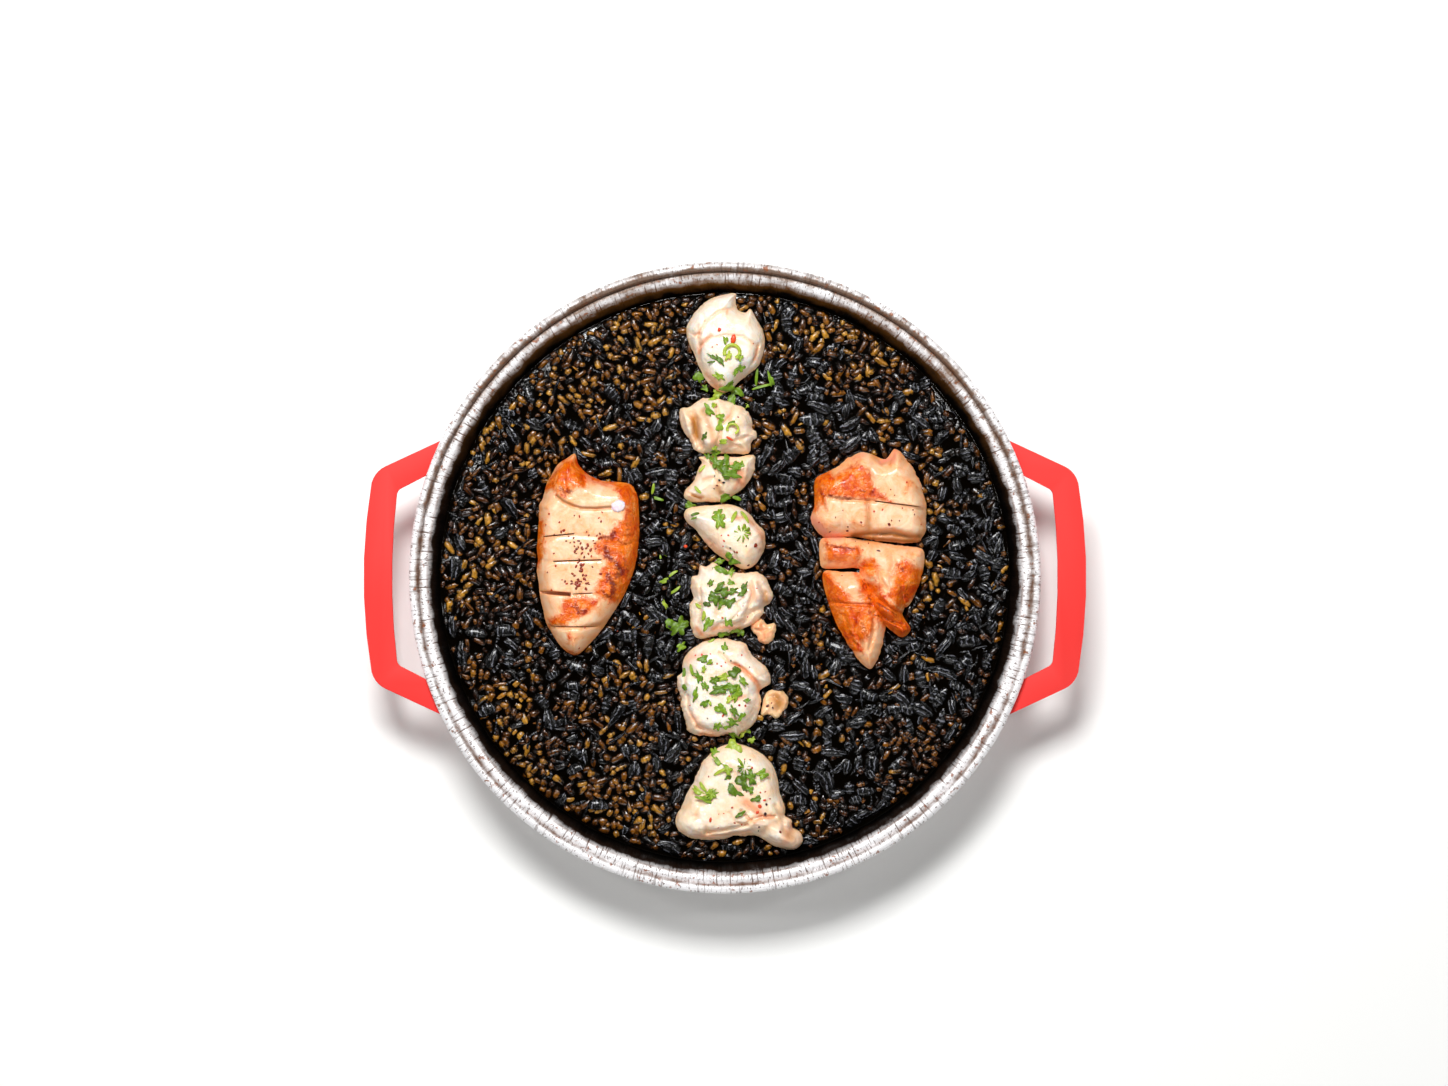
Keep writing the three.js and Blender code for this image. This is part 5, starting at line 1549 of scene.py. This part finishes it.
CORE_EDGE_AT_MM, CORE_TOP_MM = 20.5, 21
core_edge = wall_radius(CORE_EDGE_AT_MM * MM) - PLEAT_DEPTH
core_floor = wall_radius(1.0 * MM) - CORNER_RADIUS - 0.3 * MM
core_section = [(0, 1.0 * MM, 0), (core_floor, 1.0 * MM, 0), (core_edge, 19.6 * MM, 0)]
CORE_RINGS = 170
CORE_COLUMNS = 480
for k in range(CORE_RINGS + 1):
    core_section.append((core_edge * (1 - k / CORE_RINGS), CORE_TOP_MM * MM, 1))
core_mesh = mesh_from(spun(core_section, CORE_COLUMNS), "squid_ink_sauce")
core_points = points_of(core_mesh)
column = ((core_points[:, 0] / MM + MAP_HALF_MM) / CELL_MM).astype(int)
row = ((core_points[:, 1] / MM + MAP_HALF_MM) / CELL_MM).astype(int)
on_top = core_points[:, 2] > 20.9 * MM
core_points[:, 2] = np.where(on_top, sauce_map[row, column] * MM, core_points[:, 2])
set_points(core_mesh, core_points)

sauce, sauce_shader = new_material("squid_ink_sauce")
sauce_place = add(sauce, "TexCoord")
SAUCE_LUMP_MM = 1.6
sauce_cloud = add(
    sauce, "TexNoise",
    {"Vector": sauce_place, "Scale": 1 / (SAUCE_LUMP_MM * MM), "Detail": 3.0, "Roughness": 0.6},
)
sauce_colour = add(
    sauce, "Mix", {0: sauce_cloud, MIX_A: "#010100", MIX_B: "#080402"}, data_type="RGBA"
)
sauce_bump = add(sauce, "Bump", {"Height": sauce_cloud, "Strength": 0.5, "Distance": 0.25 * MM})
wire(sauce, sauce_colour, sauce_shader.inputs["Base Color"])
wire(sauce, sauce_bump, sauce_shader.inputs["Normal"])
sauce_shader.inputs["Roughness"].default_value = 0.08
piece(core_mesh, sauce, ["rice"])

# %% [markdown]
# Chopped parsley. A leaf is a thin solid: a filled circle whose rim is pulled into lobes, bent
# along its middle and given the thickness of a leaf. Strips are stems and cut edges, and rings are
# slices of a green stalk. Each is listed as a cook would point at it: where it lies, how long and
# wide it is, which way it points, its kind, and how yellow its green is.

# %% Places of the parsley
# (x, y, length, width, turn in degrees, yellowness from 0 to 1, and the kind where it is no leaf)
HERBS = [
    (0.2, 78.9, 2.2, 1.6, 80, 0.4), (2.4, 75, 6.4, 5.6, 0, 0.55, "ring"),
    (1.2, 73.6, 3, 1.6, 60, 0.7), (5.2, 73, 2.2, 1.5, 60, 0.35), (-3.4, 73, 4.4, 1, -30, 0.1),
    (-1.6, 72.2, 3.6, 1.4, -55, 0.15), (-4.6, 71.6, 2.8, 0.7, 10, 0.1, "strip"),
    (5.2, 69.6, 3.2, 2, 25, 0.25), (3.6, 68.4, 2.6, 1.4, 60, 0.3),
    (-2, 66.9, 3.8, 2, -20, 0.45), (-8.6, 67.2, 4.2, 3.2, 60, 0.2),
    (-6.4, 63.4, 2.6, 2.2, 20, 0.3), (10.6, 67, 6, 0.9, 85, 0.25, "strip"),
    (12.6, 64, 7.5, 0.8, 15, 0.35, "strip"), (15.4, 66.2, 4.6, 1.6, -70, 0.3),
    (1.2, 63.6, 5.4, 3.2, 30, 0.15), (3.8, 62.4, 4.4, 2.8, -40, 0.25),
    (2.4, 59.8, 5, 2.6, 80, 0.2), (-2.2, 61.4, 3.8, 2.6, 10, 0.5),
    (-4.2, 59.6, 3.6, 1.2, 30, 0.45, "strip"), (7.8, 58.4, 3.2, 3.2, 0, 0.4),
    (-5.4, 55.6, 4.6, 2, -60, 0.3), (-3.8, 57.2, 3.2, 1.4, 60, 0.5),
    (-1.4, 53.4, 3, 2.2, -40, 0.4), (-1.8, 50.4, 4, 2, 80, 0.4),
    (2.6, 49.4, 4.6, 4, 0, 0.6, "ring"), (2.2, 51.6, 2.8, 0.9, 20, 0.3, "strip"),
    (-6.8, 47, 3, 1.1, 60, 0.02), (-0.6, 45.2, 3.4, 1.4, 20, 0.5),
    (-2.8, 41.9, 4, 2.2, 20, 0.3), (-3.4, 43.2, 2.6, 1.6, -60, 0.55),
    (-5.4, 40, 3.6, 1.8, -60, 0.15), (-2.8, 38.2, 6, 3.2, -50, 0.2),
    (0.2, 38.8, 5, 2.8, 75, 0.1), (-0.4, 35.4, 6, 3, -60, 0.15), (3.2, 37, 4.6, 2.4, 30, 0.25),
    (5, 37.4, 3, 2.2, 40, 0.35), (2.4, 34.4, 5.6, 2.6, -10, 0.2),
    (-9.1, 29.2, 3.4, 1, -50, 0.5, "strip"), (-7.6, 36.4, 3.2, 0.9, 50, 0.6, "strip"),
    (0.1, 26.9, 4.6, 2.4, 15, 0.2), (-11.9, 24.2, 3.8, 2.2, -20, 0.25),
    (4, 26.6, 3.4, 1.2, -20, 0.3, "strip"), (-9.9, 21.2, 3.2, 0.9, 20, 0.1, "strip"),
    (-10.2, 19.8, 2.6, 0.6, 20, 0.3, "strip"), (-1.9, 19.4, 6, 3.6, -70, 0.35),
    (-2.6, 21.6, 3.4, 1.8, 30, 0.35), (3, 20.4, 4.8, 1.2, 65, 0.55, "strip"),
    (6.8, 20.2, 5, 1.2, -60, 0.55, "strip"), (5.8, 14.8, 5.4, 4.8, 20, 0.4, "frill"),
    (1.4, 7.4, 3, 2, 20, 0.25), (2.6, 6, 4.6, 3, -40, 0.2), (-1.8, 5.4, 3, 1.8, 10, 0.3),
    (-5, 4.6, 3.4, 1.4, -30, 0.4, "strip"), (-1.6, 2.2, 5.6, 2.6, -50, 0.25),
    (1.8, 1.4, 3.6, 1.8, 60, 0.4), (-4.8, -1.8, 2.2, 1.8, 60, 0.2),
    (-1.8, -3, 3.4, 2, 40, 0.15), (2, -1.8, 2.6, 2, -40, 0.3), (-0.6, -4.6, 4.8, 3, -20, 0.1),
    (2.6, -4.4, 3, 2, 20, 0.2), (-3.6, -6.8, 4.6, 3, -50, 0.05),
    (-1.2, -8.4, 4.6, 2.4, 60, 0.15), (1.6, -8.2, 4.2, 2.4, 30, 0.15),
    (6.4, -3.6, 4, 2, 75, 0.1), (5.4, -5.4, 2.2, 1.4, 0, 0.2), (-6, -8.8, 2.6, 1.6, 20, 0),
    (-5.6, -15.4, 4.6, 2.4, 50, 0.3), (-7, -12.8, 3.4, 1.4, 80, 0.6, "strip"),
    (1.2, -14.9, 3.2, 2.4, -50, 0.3), (-8.6, -9.6, 3.6, 1.1, -30, 0.5, "strip"),
    (-0.8, -18.8, 4, 2.2, -10, 0.1), (3.2, -18, 3.8, 1.6, 20, 0.3),
    (5.4, -18.4, 2.8, 2, 60, 0.3), (-4.6, -21.2, 2.8, 0.8, 30, 0.5, "strip"),
    (-0.1, -23.3, 3, 2, 80, 0.35), (-7.2, -27, 3.2, 2.4, 20, 0.25),
    (-5, -28.1, 2, 1.5, 50, 0.4), (-11.1, -30.8, 4.2, 1.1, -75, 0.4, "strip"),
    (-7, -30.4, 2.4, 1.2, 80, 0.5), (-8.6, -33.2, 4.4, 2, -60, 0.25),
    (-3.4, -34, 3, 2.4, 30, 0.2), (-6.6, -36, 3, 2, -40, 0.25),
    (-9.8, -38.9, 4.4, 1.6, 80, 0.3), (-13.6, -32.4, 4.6, 1.2, 85, 0.25, "strip"),
    (-13.4, -36.6, 2.6, 1.6, 20, 0.2), (-6.7, -41.8, 2.8, 2, 30, 0.25),
    (-5, -41.6, 2, 0.9, -60, 0.5, "strip"), (-0.4, -33, 3.8, 2.4, 20, 0.55),
    (3.2, -31.4, 4, 3.2, 0, 0.05), (-1.8, -37.2, 5.6, 3, 20, 0.15),
    (2.4, -36.6, 5, 2.8, -20, 0.25), (4, -38.8, 5.6, 2.4, 60, 0.3),
    (6, -34.4, 3.4, 1.8, -60, 0.3), (1.6, -40.4, 3, 1.6, 40, 0.6),
    (7.4, -40.8, 2.2, 1.2, 10, 0.2), (-1.4, -43.6, 4.4, 2.8, -20, 0.3),
    (3, -44.4, 3.6, 2, -60, 0.2), (5.6, -46.2, 3.6, 1.4, 50, 0.3),
    (2.4, -48, 3.8, 2.6, -30, 0.25), (-2.4, -49.4, 3, 2.4, 30, 0.35),
    (0.4, -49.8, 2.6, 1.4, 0, 0.3), (2.4, -52.2, 5.4, 2.2, -50, 0.35),
    (6, -52.2, 3, 1.6, 60, 0.6), (9, -54.4, 3, 1.6, 30, 0.4), (2.6, -56.8, 6.2, 4.2, 0, 0.5),
    (-3.2, -58.4, 3.8, 2.2, -30, 0.3), (-2.2, -61.4, 5.2, 1.6, -50, 0.35),
    (-1.8, -64.4, 5, 1, 30, 0.5, "strip"), (0.8, -63.8, 3.8, 2.4, -60, 0.4),
    (1.2, -66.2, 2.4, 1.6, 50, 0.1), (5.4, -61.6, 4, 0.9, -60, 0.45, "strip"),
    (6.4, -63.2, 4.4, 3.6, 60, 0.2, "frill"), (5.8, -68, 6.4, 3.4, -60, 0.02),
    (8.8, -66.4, 5, 2.6, -75, 0.15), (12.5, -65.3, 3.6, 3, -20, 0.35),
    (-8.6, -71.2, 5.6, 1.8, -35, 0.45), (-7.4, -69.6, 4.2, 1.2, -50, 0.5, "strip"),
    (-4.6, -72, 4.6, 3.4, 40, 0.4, "frill"), (-6.4, -73.8, 6, 1.6, -25, 0.4),
    (3.6, -71.6, 6.6, 3.2, -50, 0.1), (8.5, -70.4, 2.6, 1.8, -60, 0.2),
    (10.4, -73.5, 3.6, 1.6, 15, 0.15), (5.1, -78.6, 3, 1.6, 25, 0.15),
    (-20.9, 6.1, 4.2, 1.8, 80, 0.45), (-17.4, 1.4, 3.6, 0.9, 35, 0.5, "strip"),
    (-20.4, -1.2, 3, 1.4, 30, 0.35), (-16.7, -4.4, 4.6, 0.9, 35, 0.5, "strip"),
    (-20.1, -9.1, 3, 1.2, -60, 0.5), (-15.2, -16.4, 6.4, 4.6, 40, 0.2),
    (-18.4, -15.6, 4.2, 3, 80, 0.25), (-14.6, -23.2, 3.2, 2.4, 30, 0.3),
    (-24, 29.6, 3.8, 0.9, 80, 0.4, "strip"), (-22.6, 26.4, 4.4, 1, -20, 0.25, "strip"),
    (7.6, -51.4, 2, 1.6, 10, 0.4),
]

# %% Shape and lay the parsley
LEAF_THICKNESS_MM = 0.22
RAY_START_MM = 60
herb_draw = random.Random(71)
flesh_tree = BVHTree.FromPolygons(
    [v.co.copy() for shown in flesh.values() for v in shown.data.vertices],
    [
        [start + k for k in face.vertices]
        for start, shown in zip(
            np.cumsum([0] + [len(s.data.vertices) for s in flesh.values()]).tolist(), flesh.values()
        )
        for face in shown.data.polygons
    ],
)


def surface_at(x, y):
    """The height of the food at x, y in millimetres, and which way its surface faces."""
    place, normal, _, _ = flesh_tree.ray_cast(
        Vector((x * MM, y * MM, RAY_START_MM * MM)), Vector((0, 0, -1))
    )
    if place is None or place.z < (BED_MM + 1) * MM:
        height = bed[int((y + MAP_HALF_MM) / CELL_MM), int((x + MAP_HALF_MM) / CELL_MM)]
        return (height if height < OPEN_BELOW_MM else BED_MM + 3) * MM, Vector((0, 0, 1))
    return place.z, normal


def leaf_mesh(length, width, kind, draw):
    """A leaf, strip, frill or ring lying flat at the origin, in metres."""
    bm = bmesh.new()
    if kind == "ring":
        bmesh.ops.create_circle(bm, segments=28, radius=0.5)
        rim = bmesh.ops.extrude_edge_only(bm, edges=bm.edges[:])["geom"]
        inner = [g for g in rim if isinstance(g, bmesh.types.BMVert)]
        bmesh.ops.scale(bm, vec=(0.62, 0.6, 1), verts=inner)
        doomed = [
            f for f in bm.faces if f.calc_center_median().y < -0.18 and f.calc_center_median().x < 0.2
        ]
        bmesh.ops.delete(bm, geom=doomed, context="FACES")
    else:
        bmesh.ops.create_circle(bm, segments=24, radius=0.5, cap_ends=True, cap_tris=True)
        bmesh.ops.subdivide_edges(bm, edges=bm.edges[:], cuts=1, use_grid_fill=True)
        lobes, depth = {
            "leaf": (draw.choice((2, 3, 3, 4, 5)), 0.26), "strip": (1, 0.0), "frill": (9, 0.2),
        }[kind]
        phase, skew = draw.uniform(0, 6.28), draw.uniform(0, 6.28)
        for vertex in bm.verts:
            x, y, _ = vertex.co
            angle = math.atan2(y, x)
            reach = math.hypot(x, y) * 2
            pull = 1 + depth * reach * (
                math.cos(lobes * angle + phase) - 0.6 * math.cos((lobes + 2) * angle + skew)
            )
            pull += draw.uniform(-0.09, 0.09) * reach * (kind != "strip")
            ruffle = math.sin(lobes * angle + phase) * reach * (0.22 if kind == "frill" else 0.08)
            vertex.co = (x * pull, y * pull, ruffle)
    bend, curl = draw.uniform(0.15, 0.5), draw.uniform(-0.5, 0.5)
    for vertex in bm.verts:
        x, y, z = vertex.co
        crease = abs(y) * 0.25
        vertex.co = (
            x * length * MM,
            (y * width + curl * x * x * width * (2.2 if kind == "strip" else 0.6)) * MM,
            (z * width - bend * x * x * length * 0.45 + crease * width) * MM,
        )
    bmesh.ops.remove_doubles(bm, verts=bm.verts, dist=1e-6)
    bmesh.ops.recalc_face_normals(bm, faces=bm.faces)
    bmesh.ops.solidify(bm, geom=bm.faces[:], thickness=LEAF_THICKNESS_MM * MM)
    return bm


HIGHEST_LEAF_MM = 31.9


def laid_at(bm, x, y, turn, lift, tilt, draw):
    """Turns a small piece to the surface it falls on and moves it there."""
    height, normal = surface_at(x, y)
    upward = (normal + Vector((0, 0, 1.2))).normalized()
    lean = Vector((0, 0, 1)).rotation_difference(upward).to_matrix().to_4x4()
    wobble = Matrix.Rotation(draw.uniform(-tilt, tilt), 4, "X")
    wobble = wobble @ Matrix.Rotation(draw.uniform(-tilt, tilt), 4, "Y")
    place_it = Matrix.Translation((x * MM, y * MM, height + lift * MM))
    bmesh.ops.transform(
        bm, verts=bm.verts, matrix=place_it @ lean @ wobble @ Matrix.Rotation(math.radians(turn), 4, "Z")
    )
    over = max(vertex.co.z for vertex in bm.verts) - HIGHEST_LEAF_MM * MM
    if over > 0:
        bmesh.ops.translate(bm, verts=bm.verts, vec=(0, 0, -over))
    return bm


def one_mesh(name, parts):
    """Joins small meshes; each keeps its own shade."""
    joined = bmesh.new()
    shade_layer = joined.verts.layers.float.new("shade")
    for part, shade in parts:
        before = len(joined.verts)
        small = mesh_from(part, "small")
        joined.from_mesh(small)
        bpy.data.meshes.remove(small)
        joined.verts.ensure_lookup_table()
        for vertex in joined.verts[before:]:
            vertex[shade_layer] = shade
    return mesh_from(joined, name)


leaves = []
for x, y, length, width, turn, shade, *other in HERBS:
    kind = other[0] if other else "leaf"
    bm = leaf_mesh(length, width, kind, herb_draw)
    lift = herb_draw.uniform(0.35, 0.8) if kind != "ring" else 0.8
    leaves.append(
        (laid_at(bm, x, y, turn, lift, 0.22, herb_draw), shade + herb_draw.uniform(-0.05, 0.05))
    )
parsley_mesh = one_mesh("parsley_leaves", leaves)
top_of_herbs = max(v.co.z for v in parsley_mesh.vertices) / MM
print("parsley pieces:", len(leaves), "highest in mm:", round(top_of_herbs, 1))

# %% [markdown]
# Fresh parsley: a waxy leaf, mid green above, with paler veins, and thin enough that light comes
# through it. The wax gives it a soft sheen, much duller than the wet sauce.

# %% Parsley material
parsley, parsley_shader = new_material("fresh_parsley")
parsley_shade = add(parsley, "Attribute", attribute_name="shade")
parsley_place = add(parsley, "TexCoord")
VEIN_MM = 1.0
veins = add(
    parsley, "TexNoise",
    {"Vector": parsley_place, "Scale": 1 / (VEIN_MM * MM), "Detail": 3.0, "Roughness": 0.7},
)
vein_sum = add(parsley, "Math", {0: veins, 1: 0.7, 2: parsley_shade}, operation="MULTIPLY_ADD")
green_low = add(parsley, "MapRange", {"Value": vein_sum, "From Min": 0.2, "From Max": 0.7})
green_high = add(parsley, "MapRange", {"Value": vein_sum, "From Min": 0.65, "From Max": 1.15})
deep_green = add(
    parsley, "Mix", {0: green_low, MIX_A: "#222f05", MIX_B: "#6f9412"}, data_type="RGBA"
)
parsley_green = add(
    parsley, "Mix", {0: green_high, MIX_A: deep_green, MIX_B: "#c8d04a"}, data_type="RGBA"
)
parsley_bump = add(parsley, "Bump", {"Height": veins, "Strength": 0.6, "Distance": 0.15 * MM})
wire(parsley, parsley_green, parsley_shader.inputs["Base Color"])
wire(parsley, parsley_bump, parsley_shader.inputs["Normal"])
parsley_shader.inputs["Roughness"].default_value = 0.42
piece(parsley_mesh, parsley)

# %% [markdown]
# Specks: grains of pepper, flakes of paprika that the griddle turned dark red, and two bits of
# chilli. They are small balls, flattened, a little longer one way. The scattered ones are drawn
# at random along the seared middle of the left cuttlefish, where the photograph shows them
# thickest, and the others are placed one by one: place, length, and shade from black to red.

# %% Specks
speck_draw = random.Random(83)
SPECKS_IN_THE_BAND, SPECKS_ROUND_IT = 46, 44
SPECKS = [
    (60.5, 31.7, 0.9, 0.8), (55.1, 29.3, 0.6, 0.6), (56.4, 27.4, 0.6, 0.5),
    (62.5, 22.5, 0.6, 0.4), (63, 21, 0.7, 0.3), (58, 18.9, 0.6, 0.3), (54.6, 17.7, 1.3, 0.25),
    (55.4, 19, 0.7, 0.3), (36.8, 20, 0.7, 0.4), (35, 15.2, 0.8, 0.2), (40.9, 16.9, 0.7, 0.3),
    (40.8, 15.6, 1, 0.2), (45.3, 18.4, 0.9, 0.6), (39.2, 22.4, 0.5, 0.6),
    (51.2, 8.9, 1.5, 0.15), (48, 11.4, 0.7, 0.4), (65.4, 17.7, 0.6, 0.7), (59, 23.1, 0.6, 0.7),
    (39.1, 0.6, 0.6, 0.5), (31.4, 18.4, 0.9, 0.7), (46, 9.2, 0.8, 0.6), (49.6, 22, 0.8, 0.8),
    (52.4, 22.6, 0.9, 0.8), (43.6, 12, 0.6, 0.4), (66.4, 13.6, 0.6, 0.6),
    (-4.2, 76.6, 0.6, 0.7), (-2.6, 77.4, 0.6, 0.75), (9.4, 77.8, 0.8, 0.7),
    (4.6, 69.8, 0.6, 0.8), (4.4, 53.4, 0.7, 0.7), (-3.4, 33.8, 0.7, 0.05), (-1.8, 32.4, 1, 0),
    (-0.4, 31.6, 1.2, 0), (-2.6, 30.6, 1, 0.2), (-3.6, 29.6, 0.6, 0), (-1.2, 14, 0.7, 0.9),
    (1.1, 14.1, 0.8, 0.9), (-0.3, 12.2, 1, 0.85), (-0.6, 10.4, 0.7, 0.95), (1.8, 9.8, 0.8, 0.1),
    (3.2, 8.6, 0.9, 0.3), (7.1, 10.5, 0.8, 0.05), (4, 8.4, 0.9, 0.5), (7.8, 4.1, 1.1, 0.1),
    (10.1, 10.7, 1.8, 0.3), (4.2, -12.6, 0.7, 0.5), (-0.8, -13.4, 0.9, 0.8),
    (7.6, -13.2, 0.6, 0.8), (10.6, -3.6, 0.6, 0.8), (6, -9.4, 0.5, 0.6),
    (-7.6, -25.8, 1.3, 0.95), (-9.8, -26, 0.8, 0.9), (-4.8, -25.4, 0.7, 0.9),
    (-2.6, -28.6, 0.8, 0.85), (0.2, -28.2, 0.8, 0.9), (2, -27.6, 0.8, 0.05),
    (5.6, -25.8, 0.8, 0.85), (-1.2, -29.4, 0.7, 0.95), (4.8, -29.2, 0.6, 0.8),
    (8.2, -29.8, 0.6, 0.3), (-5.8, -46.8, 0.8, 0.1), (4.8, -42.4, 0.9, 0.5),
    (6.8, -42.6, 0.9, 0.5), (-11.6, -42.6, 0.6, 0.7), (-0.6, -45.8, 1.4, 0.8),
    (-3.2, -34.6, 0.6, 0.7), (1.4, -39.6, 1.2, 0.75), (14.3, -43, 1.4, 0.1),
    (16, -43.6, 1, 0.1), (15.6, -42, 0.7, 0.3), (-5.4, -66.2, 0.7, 0.5), (8.4, -60.6, 0.7, 0.5),
    (6.6, -60.4, 0.6, 0.8), (9, -63.2, 1, 0.6), (11.8, -71.4, 0.8, 0.8),
    (13.4, -71.2, 0.8, 0.6), (13.8, -75.4, 1, 0.05), (15, -73.6, 0.7, 0.6),
    (-4.8, -80.5, 1.9, 0.8), (-2.2, -83.2, 0.7, 0.6), (2.4, -76.4, 0.9, 0.6),
    (3.2, -81.6, 1, 0.5), (5.6, -82.2, 0.9, 0.7), (11.4, -83, 0.9, 0), (11.2, -84.4, 0.9, 0),
    (13.4, -78.6, 1.4, 0.02), (-0.4, -78.4, 0.6, 0.8), (-2, -78.6, 0.6, 0.8),
    (18.4, -84.6, 1.2, 0.2), (13.2, -74, 1.3, 0.95), (11.6, -76, 1.6, 0.95),
    (10.8, -78, 1.4, 0.9), (-36, -18, 0.6, 0.3), (-48.6, -23.6, 0.9, 0.4),
    (-46.6, -16.6, 0.8, 0.5),
]
for _ in range(SPECKS_IN_THE_BAND):
    share = speck_draw.random()
    SPECKS.append((
        -47.6 - 1.0 * share + speck_draw.gauss(0, 1.6), 11 - 14.5 * share + speck_draw.gauss(0, 0.8),
        speck_draw.uniform(0.7, 1.5), speck_draw.uniform(0.2, 0.45),
    ))
for _ in range(SPECKS_ROUND_IT):
    SPECKS.append((
        speck_draw.uniform(-60, -40.5), speck_draw.uniform(-4.2, 23),
        speck_draw.uniform(0.6, 1.3), speck_draw.uniform(0.2, 0.7),
    ))
CHILLI = [(-1.9, 82.4, 1.5, 1.3, 70), (2.8, 79.2, 3.6, 1.9, 80), (1.6, 46.2, 3.0, 0.9, -30),
          (-13.2, 10.4, 1.4, 1.2, 0)]


def small_ball(length, width, height):
    bm = bmesh.new()
    bmesh.ops.create_uvsphere(bm, u_segments=7, v_segments=5, radius=0.5)
    bmesh.ops.scale(bm, vec=(length * MM, width * MM, height * MM), verts=bm.verts)
    return bm


specks = []
for x, y, length, shade in SPECKS:
    ball = small_ball(length, length * speck_draw.uniform(0.45, 0.9), 0.35)
    specks.append((laid_at(ball, x, y, speck_draw.uniform(0, 180), 0.08, 0.1, speck_draw), shade))
for x, y, length, width, turn in CHILLI:
    specks.append((laid_at(small_ball(length, width, 0.9), x, y, turn, 0.25, 0.1, speck_draw), 1.6))
spice, spice_shader = new_material("pepper_and_paprika")
spice_shade = add(spice, "Attribute", attribute_name="shade")
spice_low = add(spice, "MapRange", {"Value": spice_shade, "From Max": 0.5})
spice_high = add(spice, "MapRange", {"Value": spice_shade, "From Min": 0.5})
spice_dark = add(spice, "Mix", {0: spice_low, MIX_A: "#220b04", MIX_B: "#a03008"}, data_type="RGBA")
spice_colour = add(
    spice, "Mix", {0: spice_high, MIX_A: spice_dark, MIX_B: "#e2481a"}, data_type="RGBA"
)
wire(spice, spice_colour, spice_shader.inputs["Base Color"])
spice_shader.inputs["Roughness"].default_value = 0.35
piece(one_mesh("pepper_and_paprika", specks), spice)

# %% [markdown]
# One drop of fat has set on the left cuttlefish: milky, very smooth, with one bright point.

# %% Drop of fat
fat, fat_shader = new_material("set_fat")
fat_shader.inputs["Base Color"].default_value = linear("#efdde4")
fat_shader.inputs["Roughness"].default_value = 0.1
fat_shader.inputs["Subsurface Weight"].default_value = 0.4
fat_shader.inputs["Subsurface Scale"].default_value = 1.5 * MM
fat_bm = bmesh.new()
bmesh.ops.create_uvsphere(fat_bm, u_segments=32, v_segments=16, radius=0.5)
for vertex in fat_bm.verts:
    vertex.co *= 1 + 0.28 * noise.noise(vertex.co * 4.2 + Vector((3.1, 0, 0)))
bmesh.ops.scale(fat_bm, vec=(4.6 * MM, 3.9 * MM, 1.3 * MM), verts=fat_bm.verts)
laid_at(fat_bm, -35.5, 23.7, 20, 0.2, 0.0, speck_draw)
piece(mesh_from(fat_bm, "drop_of_fat"), fat)
